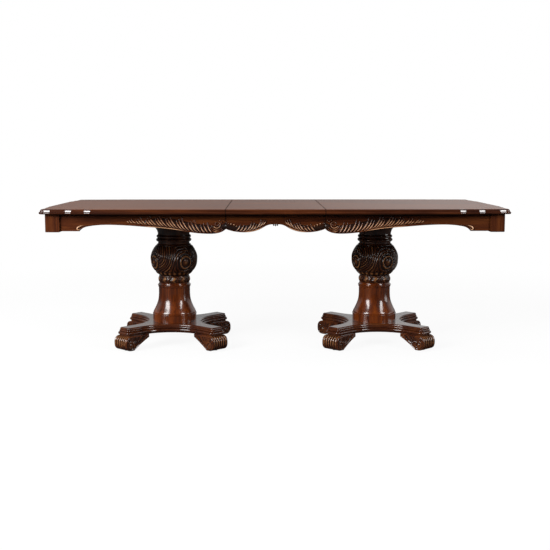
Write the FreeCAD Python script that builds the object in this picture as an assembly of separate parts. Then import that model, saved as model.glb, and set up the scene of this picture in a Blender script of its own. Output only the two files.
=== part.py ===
"""Double pedestal dining table with one leaf, in millimetres.

X runs along the table, the front faces -Y, and the floor is at z = 0 below the middle of the table.
"""
import FreeCAD
import Part
import math
import os

Vector = FreeCAD.Vector

# Overall sizes
TABLE_LENGTH = 2438.0
TABLE_WIDTH = 1118.0
TABLE_HEIGHT = 787.0
LEAF_LENGTH = 508.0
SEAM_GAP = 0.4
CUT_OVERRUN = 5.0
GLUE_GAP = 0.05
RUNNING_GAP = 0.4

# Top, with a bead below, a rounded edge above and corners that step inwards
TOP_THICKNESS = 26.0
EDGE_BEAD_HEIGHT = 13.0
EDGE_BEAD_RADIUS = 6.0
BEAD_ROUND_SHARE = 0.47
EDGE_QUIRK = 6.0
EDGE_ROUND_RADIUS = 12.0
CORNER_STEP = 8.0
CORNER_STEP_RUN = 36.0
FLAT_CORNER_RADIUS = 4.0
STEP_FROM_CORNER = 4.0
INNER_STEP_SPACING = 109.0
OUTER_STEP_SPACING = 98.0
LONG_SIDE_STEPS = 3
END_STEPS = 2

# Aprons and corner posts
POST_SETBACK = 46.0
POST_SIZE = 72.0
POST_DROP = 92.5
POST_EDGE_RADIUS = 4.0
APRON_RECESS = 10.0
APRON_THICKNESS = 22.0
APRON_DROP = 101.0
APRON_BLOCK_DROP_SHARE = 0.866
TENON_THICKNESS = 10.0
TENON_LENGTH = 28.0
TENON_HEIGHT = 50.0
BRACE_THICKNESS = 24.0
BRACE_HEIGHT = 60.0
BRACE_POST_CLEARANCE = 15.0

# Lower edge of a half's apron, as shares of its run from the seam and of its drop
HALF_EDGE_SHARES = (
    (0.0, 0.756), (0.026, 0.906), (0.062, 0.985), (0.107, 1.0), (0.188, 0.95), (0.314, 0.776),
    (0.511, 0.624), (0.691, 0.545), (0.817, 0.604), (0.871, 0.757), (0.883, 0.851),
)
# Lower edge of the leaf's apron, as shares of the way from the seam to its middle and of the drop
LEAF_EDGE_SHARES = (
    (0.0, 0.756), (0.096, 0.84), (0.3, 0.918), (0.462, 0.906), (0.585, 0.851),
    (0.707, 0.733), (0.829, 0.574), (1.0, 0.52),
)

# Slides: a rail on each half runs beside a centre rail, in front and at the back
SLIDE_OFFSET_SHARE = 0.499
RAIL_HEIGHT = 45.0
RAIL_WIDTH = 32.0
RAIL_LENGTH = 840.0
RAIL_OVERHANG = 340.0
CENTRE_RAIL_LENGTH = 600.0
CENTRE_RAIL_WIDTH = 42.0
CENTRE_RAIL_DEPTH = 1.0
RAIL_SEAT_GAP = 0.3
GROOVE_HEIGHT = 12.0
STRIP_HEIGHT = 11.4
STRIP_EMBED = 10.0
TIE_WIDTH = 80.0
TIE_THICKNESS = 18.0

# Equalising gear in each slide
GEAR_MODULE = 2.0
GEAR_TEETH = 16
GEAR_PRESSURE_ANGLE = math.radians(25.0)
GEAR_ADDENDUM_SHARE = 0.9
GEAR_DEDENDUM_SHARE = 1.2
GEAR_BACKLASH = 0.3
GEAR_FLANK_STEPS = 5
GEAR_THICKNESS = 10.0
AXLE_RADIUS = 4.0
AXLE_GAP = 0.1
AXLE_LENGTH = 34.0

# Bearer across each half near the seam, with notches for the slides
CROSS_BEARER_THICKNESS = 20.0
CROSS_BEARER_HEIGHT = 71.0
CROSS_BEARER_FROM_SEAM = 71.0
CROSS_NOTCH_GAP = 4.0

# Leaf pins, cleats and latches
PIN_RADIUS = 4.0
PIN_LENGTH = 30.0
PIN_REACH = 10.0
PIN_APRON_GAP = 61.0
CLEAT_WIDTH = 40.0
CLEAT_THICKNESS = 18.0
CLEAT_FROM_CENTRE = 150.0
CLEAT_RAIL_CLEARANCE = 12.0
LATCH_APRON_GAP = 31.0
LATCH_FROM_SEAM = 41.0
LATCH_PLATE_LENGTH = 40.0
LATCH_PLATE_WIDTH = 30.0
LATCH_PLATE_THICKNESS = 2.0
LATCH_ARM_WIDTH = 24.0
LATCH_ARM_THICKNESS = 3.0
LATCH_STUD_RADIUS = 3.0
LATCH_STUD_GAP = 0.1
LATCH_HEAD_RADIUS = 6.0
LATCH_HEAD_HEIGHT = 2.5
LATCH_SLOT_GAP = 0.8

# Screws
SCREW_RADIUS = 2.5
SCREW_HEAD_RADIUS = 5.0
SCREW_HEAD_HEIGHT = 3.0
SCREW_BITE = 15.0
SCREW_POCKET_GAP = 1.0
RAIL_SCREW_COUNT = 4
BEARER_SCREW_COUNT = 3
SCREW_WOOD = 24.0

# Pedestal: bearers, plate and turned column
BEARER_WIDTH = 40.0
BEARER_HEIGHT = 71.0
BEARER_LENGTH = 380.0
BEARER_SETBACK = 34.0
BEARER_OFFSET = 110.0
PLATE_LENGTH = 180.0
PLATE_WIDTH = 270.0
PLATE_THICKNESS = 26.0
CAPITAL_HEIGHT_SHARE = 0.181
CAPITAL_RADIUS = 112.0
BALL_HEIGHT_SHARE = 0.337
BALL_RADIUS = 132.0
COLLAR_HEIGHT_SHARE = 0.078
COLLAR_RADIUS = 91.5
VASE_HEIGHT_SHARE = 0.404
VASE_RADIUS = 123.0
SPIGOT_RADIUS = 30.0
SPIGOT_HEIGHT = 12.0
SPIGOT_GAP = 0.2

# Turned outlines from the bottom up, as stretches of shares of the piece's radius and height
CAPITAL_SHARES = (
    ((0.786, 0.0), (0.79, 0.1)),
    ((0.79, 0.1), (0.855, 0.135), (0.884, 0.206), (0.858, 0.275), (0.812, 0.3)),
    ((0.812, 0.3), (0.812, 0.328)),
    ((0.812, 0.328), (0.852, 0.36), (0.866, 0.418), (0.844, 0.472), (0.795, 0.497)),
    ((0.795, 0.497), (0.797, 0.58), (0.825, 0.72), (0.9, 0.87), (0.94, 0.92)),
    ((0.94, 0.92), (1.0, 0.93)),
    ((1.0, 0.93), (1.0, 1.0)),
)
BALL_SHARES = (
    ((0.64, 0.0), (0.84, 0.155), (0.966, 0.315), (1.0, 0.47), (0.992, 0.63), (0.915, 0.785),
     (0.802, 0.912), (0.682, 1.0)),
)
COLLAR_SHARES = (
    ((0.905, 0.0), (0.968, 0.18), (1.0, 0.452), (0.975, 0.74), (0.932, 1.0)),
)
VASE_SHARES = (
    ((1.0, 0.0), (1.0, 0.175)),
    ((1.0, 0.175), (0.986, 0.194), (0.97, 0.2)),
    ((0.97, 0.2), (0.977, 0.214), (0.95, 0.267), (0.902, 0.32), (0.817, 0.426), (0.754, 0.53),
     (0.724, 0.64), (0.715, 0.72)),
    ((0.715, 0.72), (0.715, 0.885)),
    ((0.715, 0.885), (0.733, 0.895), (0.74, 0.926), (0.728, 0.957), (0.703, 0.968)),
    ((0.703, 0.968), (0.685, 1.0)),
)

# Tie rod through the column
ROD_RADIUS = 6.0
ROD_BORE_GAP = 1.0
NUT_FLATS = 19.0
NUT_HEIGHT = 10.0
WASHER_RADIUS = 16.0
WASHER_THICKNESS = 2.5
ROD_POCKET_RADIUS = 20.0
ROD_POCKET_DEPTH = 20.0
ROD_END = 4.0

# Platform: four arms on the diagonals with hollow sides, its edge in four steps from below
PLATFORM_THICKNESS = 45.0
ARM_REACH = 370.0
ARM_WIDTH = 100.0
ARM_HOLLOW_RADIUS = 218.0
ARM_CORNER_RADIUS = 20.0
UNDERCUT_DEPTH = 8.0
UNDERCUT_HEIGHT = 6.0
LOWER_BEAD_HEIGHT = 16.0
LOWER_BEAD_RADIUS = 7.5
UPPER_BEAD_HEIGHT = 10.0
UPPER_BEAD_INSET = 7.0
UPPER_BEAD_RADIUS = 4.5
PLATFORM_ROUND_INSET = 11.0
PLATFORM_ROUND_RADIUS = 8.0

# Scroll feet and glides
FOOT_WIDTH = 116.0
FOOT_REACH = 388.0
FOOT_LENGTH = 160.0
FOOT_HEIGHT = 79.0
FOOT_EDGE_RADIUS = 6.0
FOOT_SOLE_LENGTH = 18.0
FOOT_HEEL_HEIGHT_SHARE = 0.22
FOOT_HOLLOW_SHARES = (0.5, 0.56)
GLIDE_RADIUS = 11.0
GLIDE_HEIGHT = 3.0
GLIDE_STEM_RADIUS = 5.0
GLIDE_STEM_LENGTH = 15.0
GLIDE_FROM_TOE = 46.0

# Places worked out from the sizes above
ORIGIN = Vector(0, 0, 0)
UNDERSIDE = TABLE_HEIGHT - TOP_THICKNESS
CORNER_RADIUS = FLAT_CORNER_RADIUS + EDGE_ROUND_RADIUS + EDGE_QUIRK
LONG_SIDE_RECESS = LONG_SIDE_STEPS * CORNER_STEP
END_RECESS = END_STEPS * CORNER_STEP
INNER_STEP_FROM_END = END_RECESS + CORNER_RADIUS + STEP_FROM_CORNER + CORNER_STEP_RUN / 2
MIDDLE_STEP_FROM_END = INNER_STEP_FROM_END + INNER_STEP_SPACING
OUTER_STEP_FROM_END = MIDDLE_STEP_FROM_END + OUTER_STEP_SPACING
SEAM_X = LEAF_LENGTH / 2
HALF_START = SEAM_X + SEAM_GAP / 2
LEAF_END = SEAM_X - SEAM_GAP / 2
LEAF_UNDERSIDE = UNDERSIDE + RUNNING_GAP
POST_OUTER_X = TABLE_LENGTH / 2 - POST_SETBACK
POST_OUTER_Y = TABLE_WIDTH / 2 - POST_SETBACK
POST_INNER_X = POST_OUTER_X - POST_SIZE
POST_INNER_Y = POST_OUTER_Y - POST_SIZE
APRON_OUTER_X = POST_OUTER_X - APRON_RECESS
APRON_OUTER_Y = POST_OUTER_Y - APRON_RECESS
APRON_INNER_X = APRON_OUTER_X - APRON_THICKNESS
APRON_INNER_Y = APRON_OUTER_Y - APRON_THICKNESS
CROSS_BEARER_START = HALF_START + CROSS_BEARER_FROM_SEAM
CROSS_BEARER_END = CROSS_BEARER_START + CROSS_BEARER_THICKNESS
PEDESTAL_X = CROSS_BEARER_END + BEARER_SETBACK + BEARER_LENGTH / 2
SLIDE_OFFSET = APRON_INNER_Y * SLIDE_OFFSET_SHARE
PIN_SPREAD = APRON_INNER_Y - PIN_APRON_GAP
LATCH_OFFSET = APRON_INNER_Y - LATCH_APRON_GAP

GEAR_PITCH_RADIUS = GEAR_MODULE * GEAR_TEETH / 2
GEAR_ADDENDUM = GEAR_MODULE * GEAR_ADDENDUM_SHARE
GEAR_DEDENDUM = GEAR_MODULE * GEAR_DEDENDUM_SHARE
GEAR_PITCH = math.pi * GEAR_MODULE
RAIL_BOTTOM = UNDERSIDE - RAIL_HEIGHT
RAIL_MIDDLE = UNDERSIDE - RAIL_HEIGHT / 2
CENTRE_RAIL_TOP = UNDERSIDE - RAIL_SEAT_GAP
CENTRE_RAIL_BOTTOM = RAIL_BOTTOM - CENTRE_RAIL_DEPTH
RAIL_SIDE = CENTRE_RAIL_WIDTH / 2 + RUNNING_GAP
STRIP_TIP = GEAR_PITCH_RADIUS - GEAR_ADDENDUM
GROOVE_BED = STRIP_TIP - RUNNING_GAP
RAIL_SCREW_Y = RAIL_SIDE + STRIP_EMBED + (RAIL_WIDTH - STRIP_EMBED) / 2

FOOT_TOP = GLIDE_HEIGHT + FOOT_HEIGHT
PLATFORM_TOP = FOOT_TOP + PLATFORM_THICKNESS
PLATE_TOP = UNDERSIDE - BEARER_HEIGHT
CAPITAL_TOP = PLATE_TOP - PLATE_THICKNESS
COLUMN_HEIGHT = CAPITAL_TOP - PLATFORM_TOP
VASE_HEIGHT = COLUMN_HEIGHT * VASE_HEIGHT_SHARE
COLLAR_HEIGHT = COLUMN_HEIGHT * COLLAR_HEIGHT_SHARE
BALL_HEIGHT = COLUMN_HEIGHT * BALL_HEIGHT_SHARE
CAPITAL_HEIGHT = COLUMN_HEIGHT * CAPITAL_HEIGHT_SHARE
VASE_TOP = PLATFORM_TOP + VASE_HEIGHT
COLLAR_TOP = VASE_TOP + COLLAR_HEIGHT
BALL_TOP = COLLAR_TOP + BALL_HEIGHT

TOP_SCREW_LENGTH = SCREW_WOOD + SCREW_BITE
PLATE_SCREW_LENGTH = PLATE_THICKNESS - SCREW_HEAD_HEIGHT + SCREW_BITE

LATCH_X = HALF_START + LATCH_FROM_SEAM
CATCH_X = LEAF_END - LATCH_FROM_SEAM
LATCH_ARM_REACH = LATCH_X - CATCH_X
LATCH_ARM_TOP = UNDERSIDE - LATCH_PLATE_THICKNESS - RAIL_SEAT_GAP
LATCH_ARM_BOTTOM = LATCH_ARM_TOP - LATCH_ARM_THICKNESS
LATCH_HEAD_TOP = LATCH_ARM_BOTTOM - RAIL_SEAT_GAP
LATCH_HEAD_BOTTOM = LATCH_HEAD_TOP - LATCH_HEAD_HEIGHT


def box(x_range, y_range, z_range):
    """A block between three pairs of limits."""
    low = Vector(min(x_range), min(y_range), min(z_range))
    high = Vector(max(x_range), max(y_range), max(z_range))
    size = high - low
    return Part.makeBox(size.x, size.y, size.z, low)


def disc(x, y, z_range, radius):
    """An upright cylinder between two heights."""
    return Part.makeCylinder(radius, max(z_range) - min(z_range), Vector(x, y, min(z_range)))


def flipped_x(shape):
    """The shape mirrored end for end."""
    return shape.mirror(ORIGIN, Vector(1, 0, 0))


def flipped_y(shape):
    """The shape mirrored front to back."""
    return shape.mirror(ORIGIN, Vector(0, 1, 0))


def both_ways(shape):
    """A shape and its mirror image on the other side of the table's long axis."""
    return [shape, flipped_y(shape)]


def on_side(shape, side):
    """A shape drawn on the right half, put on the half that the side's sign names."""
    return shape if side > 0 else flipped_x(shape)


def write(name, *shapes):
    """Writes one node, whose shapes stay separate solids."""
    solids = [solid for shape in shapes for solid in shape.Solids]
    whole = solids[0] if len(solids) == 1 else Part.makeCompound(solids)
    whole.exportStep("parts/" + name + ".step")


def face_of(edges):
    """A flat face inside a closed run of edges."""
    return Part.Face(Part.Wire(Part.__sortEdges__(edges)))


def spline(points):
    """A smooth edge through points, or a straight one between two."""
    if len(points) == 2:
        return Part.makeLine(points[0], points[1])
    curve = Part.BSplineCurve()
    curve.interpolate(points)
    return curve.toShape()


def polygon_prism(points, rise):
    """A prism with the corner points given, extruded along a vector."""
    return Part.Face(Part.makePolygon(points + points[:1])).extrude(rise)


def arc_round(centre, start, end):
    """The short arc about a centre between two points."""
    out = (start - centre) + (end - centre)
    out.normalize()
    return (start, centre + out * (start - centre).Length, end)


def outline_edges(arcs):
    """Closed edges made of arcs in order, with straight edges between them."""
    edges = []
    for index, arc in enumerate(arcs):
        edges.append(Part.Arc(*arc).toShape())
        nearest = arcs[(index + 1) % len(arcs)][0]
        if not arc[2].isEqual(nearest, GLUE_GAP):
            edges.append(Part.makeLine(arc[2], nearest))
    return edges


def step_arcs(from_end, level, inset):
    """The two arcs of one inward step of the top's edge, either side of its straight slope."""
    start = Vector(from_end + CORNER_STEP_RUN / 2, level, 0)
    end = Vector(from_end - CORNER_STEP_RUN / 2, level + CORNER_STEP, 0)
    radius = min(CORNER_RADIUS, (CORNER_STEP_RUN ** 2 + CORNER_STEP ** 2) / (4 * CORNER_STEP))
    inner = start + Vector(0, radius, 0)
    outer = end - Vector(0, radius, 0)
    span = outer - inner
    slope = math.asin(2 * radius / span.Length) - math.atan2(-span.y, CORNER_STEP_RUN)
    facing = Vector(-math.sin(slope), -math.cos(slope), 0)
    return [arc_round(inner, start + Vector(0, inset, 0), inner + facing * (radius - inset)),
            arc_round(outer, outer - facing * (radius + inset), end + Vector(0, inset, 0))]


def edge_steps(count, inset):
    """The arcs of the first steps along one edge towards a corner, each further in than the last."""
    places = (OUTER_STEP_FROM_END, MIDDLE_STEP_FROM_END, INNER_STEP_FROM_END)[:count]
    return [arc for number, place in enumerate(places)
            for arc in step_arcs(place, number * CORNER_STEP, inset)]


def corner_arcs(inset):
    """One corner of the top from the long side to the end, measured inwards from both."""
    centre = Vector(END_RECESS + CORNER_RADIUS, LONG_SIDE_RECESS + CORNER_RADIUS, 0)
    start = Vector(centre.x, LONG_SIDE_RECESS + inset, 0)
    tip = arc_round(centre, start, Vector(END_RECESS + inset, centre.y, 0))
    end_side = [tuple(Vector(p.y, p.x, 0) for p in reversed(arc))
                for arc in reversed(edge_steps(END_STEPS, inset))]
    return edge_steps(LONG_SIDE_STEPS, inset) + [tip] + end_side


def from_corner(point, x_sign, y_sign, z):
    """A point measured inwards from one corner of the table, in the table's frame."""
    return Vector(x_sign * (TABLE_LENGTH / 2 - point.x), y_sign * (TABLE_WIDTH / 2 - point.y), z)


def top_slab(inset, z_range):
    """A slab with the top's outline, drawn in by an inset."""
    arcs = []
    for x_sign, y_sign in ((1, -1), (1, 1), (-1, 1), (-1, -1)):
        corner = [tuple(from_corner(p, x_sign, y_sign, min(z_range)) for p in arc)
                  for arc in corner_arcs(inset)]
        if x_sign * y_sign > 0:
            corner = [tuple(reversed(arc)) for arc in reversed(corner)]
        arcs += corner
    return face_of(outline_edges(arcs)).extrude(Vector(0, 0, max(z_range) - min(z_range)))


def rim_edges(shape, height):
    """The edges of a slab that lie level at one height."""
    return [edge for edge in shape.Edges if all(abs(v.Z - height) < GLUE_GAP for v in edge.Vertexes)]


def whole_top():
    """The top with its moulded edge, before it is cut at the seams."""
    middle = UNDERSIDE + EDGE_BEAD_HEIGHT
    bead = top_slab(0, (UNDERSIDE, middle))
    bead = bead.makeFillet(min(EDGE_BEAD_RADIUS, EDGE_BEAD_HEIGHT * BEAD_ROUND_SHARE),
                           rim_edges(bead, UNDERSIDE) + rim_edges(bead, middle))
    upper = top_slab(EDGE_QUIRK, (middle, TABLE_HEIGHT))
    upper = upper.makeFillet(EDGE_ROUND_RADIUS, rim_edges(upper, TABLE_HEIGHT))
    return bead.fuse(upper).removeSplitter()


def top_cut(whole, x_range, bottom):
    """The stretch of the top between two places along it."""
    reach = TABLE_WIDTH / 2 + CUT_OVERRUN
    return whole.common(box(x_range, (-reach, reach), (bottom, TABLE_HEIGHT + CUT_OVERRUN)))


def pin_places():
    """Places across the table of the leaf pins."""
    return (-PIN_SPREAD, 0, PIN_SPREAD)


def pin_bar(x_range, y, radius):
    """A round bar along the table at the pins' height."""
    length = max(x_range) - min(x_range)
    start = Vector(min(x_range), y, UNDERSIDE + TOP_THICKNESS / 2)
    return Part.makeCylinder(radius, length, start, Vector(1, 0, 0))


def pin_range():
    """Where a leaf pin of the right half starts and ends."""
    return (HALF_START - PIN_REACH, HALF_START - PIN_REACH + PIN_LENGTH)


def screw(x, y, head, length, gap=0):
    """A screw that points up from its head, or its hole where a gap is given."""
    shank = disc(x, y, (head, head + length + gap), SCREW_RADIUS + gap)
    return shank.fuse(disc(x, y, (head - SCREW_HEAD_HEIGHT, head), SCREW_HEAD_RADIUS))


def screw_pocket(x, y, bottom, head):
    """The pocket that lets a screw's head in from below."""
    return disc(x, y, (bottom - CUT_OVERRUN, head), SCREW_HEAD_RADIUS + SCREW_POCKET_GAP)


def spread(count, centre, length):
    """Evenly spaced places along a length, half a space in from its ends."""
    return [centre + length * ((index + 1 / 2) / count - 1 / 2) for index in range(count)]


def rail_lane(side):
    """The sign that puts a half's rail outside or inside the centre rail."""
    return 1 if side < 0 else -1


def rail_screws(side):
    """Places and head height of the screws of the right-hand drawing's two rails."""
    start = HALF_START
    end = SEAM_X - RAIL_OVERHANG + RAIL_LENGTH
    head = UNDERSIDE - SCREW_WOOD
    y = SLIDE_OFFSET + rail_lane(side) * RAIL_SCREW_Y
    xs = spread(RAIL_SCREW_COUNT, (start + end) / 2, end - start)
    return [(x, sign * y, head, RAIL_BOTTOM) for x in xs for sign in (1, -1)]


def bearer_screws():
    """Screws that hold the pedestal's bearers to the top."""
    xs = spread(BEARER_SCREW_COUNT, PEDESTAL_X, BEARER_LENGTH)
    return [(x, sign * BEARER_OFFSET, UNDERSIDE - SCREW_WOOD, PLATE_TOP) for x in xs for sign in (1, -1)]


def plate_screws():
    """Screws that hold the pedestal's plate to its bearers."""
    xs = (PEDESTAL_X - PLATE_LENGTH / 3, PEDESTAL_X + PLATE_LENGTH / 3)
    head = CAPITAL_TOP + SCREW_HEAD_HEIGHT
    return [(x, sign * BEARER_OFFSET, head, CAPITAL_TOP) for x in xs for sign in (1, -1)]


def with_screw_holes(shape, places, length):
    """A shape drilled and pocketed for screws."""
    for x, y, head, bottom in places:
        shape = shape.cut(screw(x, y, head, length, GLUE_GAP))
        shape = shape.cut(screw_pocket(x, y, bottom, head))
    return shape


def half_top(whole, side):
    """One half of the top, drilled for its pins and screws."""
    half = top_cut(whole, (HALF_START, TABLE_LENGTH), UNDERSIDE - CUT_OVERRUN)
    for y in pin_places():
        half = half.cut(pin_bar((HALF_START - CUT_OVERRUN, max(pin_range())), y, PIN_RADIUS + GLUE_GAP))
    for place in rail_screws(side) + bearer_screws():
        half = half.cut(screw(*place[:3], TOP_SCREW_LENGTH, GLUE_GAP))
    return half


def apron_face(edge_points, top_points):
    """A flat apron outline: its lower edges, each a list of points, closed over the top."""
    edges = [spline(points) for points in edge_points]
    edges += [Part.makeLine(a, b) for a, b in zip(top_points, top_points[1:])]
    return face_of(edges)


def shaped_edge(shares, start, run):
    """Lower-edge points along a run, from shares of it and of the apron's drop."""
    return [Vector(start + run * along, 0, UNDERSIDE - APRON_DROP * down) for along, down in shares]


def half_edge(start, run):
    """The lower edges of half an apron from its lobe to its block."""
    curve = shaped_edge(HALF_EDGE_SHARES, start, run)
    block = UNDERSIDE - APRON_DROP * APRON_BLOCK_DROP_SHARE
    foot = Vector(curve[-1].x, 0, block)
    return [curve, [curve[-1], foot], [foot, Vector(start + run, 0, block)]]


def apron_tenon(x_range):
    """The tenon at an apron's end, in the middle of its thickness, for an apron drawn at y = 0."""
    middle = APRON_THICKNESS / 2
    top = UNDERSIDE - (APRON_DROP * APRON_BLOCK_DROP_SHARE - TENON_HEIGHT) / 2
    reach = TENON_THICKNESS / 2
    return box(x_range, (middle - reach, middle + reach), (top - TENON_HEIGHT, top))


def long_apron():
    """The back apron of the right half."""
    run = POST_INNER_X - HALF_START
    edges = half_edge(HALF_START, run)
    corners = [edges[-1][-1], Vector(POST_INNER_X, 0, UNDERSIDE), Vector(HALF_START, 0, UNDERSIDE),
               edges[0][0]]
    board = apron_face(edges, corners).extrude(Vector(0, APRON_THICKNESS, 0))
    board = board.fuse(apron_tenon((POST_INNER_X, POST_INNER_X + TENON_LENGTH)))
    return board.translated(Vector(0, APRON_INNER_Y, 0))


def end_apron():
    """The apron across the right end, with two lobes that meet in the middle."""
    half = half_edge(0, POST_INNER_Y)
    other = [[Vector(-p.x, 0, p.z) for p in points] for points in half]
    corners = [half[-1][-1], Vector(POST_INNER_Y, 0, UNDERSIDE), Vector(-POST_INNER_Y, 0, UNDERSIDE),
               other[-1][-1]]
    board = apron_face(half + other, corners).extrude(Vector(0, APRON_THICKNESS, 0))
    for sign in (1, -1):
        board = board.fuse(apron_tenon((sign * POST_INNER_Y, sign * (POST_INNER_Y + TENON_LENGTH))))
    board.rotate(ORIGIN, Vector(0, 0, 1), -90)
    return board.translated(Vector(APRON_INNER_X, 0, 0))


def corner_post(aprons):
    """The back corner post of the right half, mortised for its aprons."""
    bottom = UNDERSIDE - POST_DROP
    post = box((POST_INNER_X, POST_OUTER_X), (POST_INNER_Y, POST_OUTER_Y), (bottom, UNDERSIDE))
    post = post.makeFillet(POST_EDGE_RADIUS, rim_edges(post, bottom))
    for apron in aprons:
        post = post.cut(apron)
    return post


def corner_brace():
    """A board across the back corner of the right half, behind its post."""
    post_reach = (APRON_INNER_X - POST_INNER_X) + (APRON_INNER_Y - POST_INNER_Y)
    near = post_reach + BRACE_POST_CLEARANCE
    far = near + BRACE_THICKNESS * math.sqrt(2)
    x, y, z = APRON_INNER_X, APRON_INNER_Y, UNDERSIDE - BRACE_HEIGHT
    points = [Vector(x - near, y, z), Vector(x - far, y, z), Vector(x, y - far, z), Vector(x, y - near, z)]
    return polygon_prism(points, Vector(0, 0, BRACE_HEIGHT))


def slide_half_width():
    """Half the width of one slide, from its middle to the outside of a rail."""
    return RAIL_SIDE + RAIL_WIDTH


def cross_bearer():
    """The bearer across the right half near the seam, notched over both slides."""
    x_range = (CROSS_BEARER_START, CROSS_BEARER_END)
    bearer = box(x_range, (-APRON_INNER_Y, APRON_INNER_Y), (UNDERSIDE - CROSS_BEARER_HEIGHT, UNDERSIDE))
    reach = slide_half_width() + CROSS_NOTCH_GAP
    notch_x = (min(x_range) - CUT_OVERRUN, max(x_range) + CUT_OVERRUN)
    notch_z = (CENTRE_RAIL_BOTTOM - CROSS_NOTCH_GAP, UNDERSIDE + CUT_OVERRUN)
    for sign in (1, -1):
        y_range = (sign * SLIDE_OFFSET - reach, sign * SLIDE_OFFSET + reach)
        bearer = bearer.cut(box(notch_x, y_range, notch_z))
    return bearer


def rail_range():
    """Where a rail of the right half starts and ends along the table."""
    start = SEAM_X - RAIL_OVERHANG
    return (start, start + RAIL_LENGTH)


def slide_rail(side):
    """The back rail of a half, drawn on the right, with the slot for its rack strip."""
    lane = rail_lane(side)
    near = SLIDE_OFFSET + lane * RAIL_SIDE
    rail = box(rail_range(), (near, near + lane * RAIL_WIDTH), (RAIL_BOTTOM, UNDERSIDE))
    slot_x = (min(rail_range()) - CUT_OVERRUN, max(rail_range()) + CUT_OVERRUN)
    slot_y = (near - lane * CUT_OVERRUN, near + lane * (STRIP_EMBED + GLUE_GAP))
    half = STRIP_HEIGHT / 2 + GLUE_GAP
    rail = rail.cut(box(slot_x, slot_y, (RAIL_MIDDLE - half, RAIL_MIDDLE + half)))
    return with_screw_holes(rail, [place for place in rail_screws(side) if place[1] > 0], TOP_SCREW_LENGTH)


def rack_strip(side):
    """The toothed strip of the back rail: it is the rail's tongue and the pinion's rack."""
    lane = rail_lane(side)
    start, end = rail_range()
    flare = math.tan(GEAR_PRESSURE_ANGLE)
    mouth = GEAR_PITCH / 4 + GEAR_BACKLASH / 4 + GEAR_ADDENDUM * flare
    bed = GEAR_PITCH / 4 + GEAR_BACKLASH / 4 - GEAR_DEDENDUM * flare
    first = math.ceil((start + mouth) / GEAR_PITCH)
    last = math.floor((SEAM_X + GEAR_PITCH_RADIUS) / GEAR_PITCH)
    root = GEAR_PITCH_RADIUS + GEAR_DEDENDUM
    outline = [(start, RAIL_SIDE + STRIP_EMBED), (start, STRIP_TIP)]
    for index in range(first, last + 1):
        x = index * GEAR_PITCH
        outline += [(x - mouth, STRIP_TIP), (x - bed, root), (x + bed, root), (x + mouth, STRIP_TIP)]
    outline += [(end, STRIP_TIP), (end, RAIL_SIDE + STRIP_EMBED)]
    bottom = RAIL_MIDDLE - STRIP_HEIGHT / 2
    points = [Vector(x, SLIDE_OFFSET + lane * y, bottom) for x, y in outline]
    return polygon_prism(points, Vector(0, 0, STRIP_HEIGHT))


def centre_rail():
    """The back centre rail, grooved on both sides, with a pocket for its pinion."""
    half = CENTRE_RAIL_LENGTH / 2
    side = CENTRE_RAIL_WIDTH / 2
    y = SLIDE_OFFSET
    rail = box((-half, half), (y - side, y + side), (CENTRE_RAIL_BOTTOM, CENTRE_RAIL_TOP))
    groove_z = (RAIL_MIDDLE - GROOVE_HEIGHT / 2, RAIL_MIDDLE + GROOVE_HEIGHT / 2)
    groove_x = (-half - CUT_OVERRUN, half + CUT_OVERRUN)
    for sign in (1, -1):
        groove_y = (y + sign * GROOVE_BED, y + sign * (side + CUT_OVERRUN))
        rail = rail.cut(box(groove_x, groove_y, groove_z))
    pocket = GEAR_PITCH_RADIUS + GEAR_ADDENDUM + RUNNING_GAP
    rail = rail.cut(box((-pocket, pocket), (y - side, y + side), groove_z))
    return rail.cut(axle(AXLE_RADIUS + GLUE_GAP))


def axle(radius):
    """The upright axle of the back pinion."""
    return disc(0, SLIDE_OFFSET, (RAIL_MIDDLE - AXLE_LENGTH / 2, RAIL_MIDDLE + AXLE_LENGTH / 2), radius)


def tooth_half_angle(radius):
    """Half the angle that a pinion tooth fills at a radius."""
    base = GEAR_PITCH_RADIUS * math.cos(GEAR_PRESSURE_ANGLE)
    roll = math.acos(min(1, base / max(radius, base)))
    at_pitch = math.pi / (2 * GEAR_TEETH) - GEAR_BACKLASH / (4 * GEAR_PITCH_RADIUS)
    return at_pitch + math.tan(GEAR_PRESSURE_ANGLE) - GEAR_PRESSURE_ANGLE - math.tan(roll) + roll


def pinion():
    """The back pinion, with involute teeth."""
    root = GEAR_PITCH_RADIUS - GEAR_DEDENDUM
    depth = GEAR_ADDENDUM + GEAR_DEDENDUM
    radii = [root + depth * step / GEAR_FLANK_STEPS for step in range(GEAR_FLANK_STEPS + 1)]
    flank = [(radius, -tooth_half_angle(radius)) for radius in radii]
    flank += [(radius, -angle) for radius, angle in reversed(flank)]
    bottom = RAIL_MIDDLE - GEAR_THICKNESS / 2
    points = []
    for tooth in range(GEAR_TEETH):
        turn = 2 * math.pi * tooth / GEAR_TEETH
        points += [Vector(radius * math.cos(turn + angle), radius * math.sin(turn + angle), bottom)
                   for radius, angle in flank]
    gear = polygon_prism(points, Vector(0, 0, GEAR_THICKNESS)).translated(Vector(0, SLIDE_OFFSET, 0))
    return gear.cut(axle(AXLE_RADIUS + AXLE_GAP))


def carriage_tie():
    """The board under both centre rails that keeps them together."""
    reach = SLIDE_OFFSET + CENTRE_RAIL_WIDTH / 2
    return box((-TIE_WIDTH / 2, TIE_WIDTH / 2), (-reach, reach),
               (CENTRE_RAIL_BOTTOM - TIE_THICKNESS, CENTRE_RAIL_BOTTOM))


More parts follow.
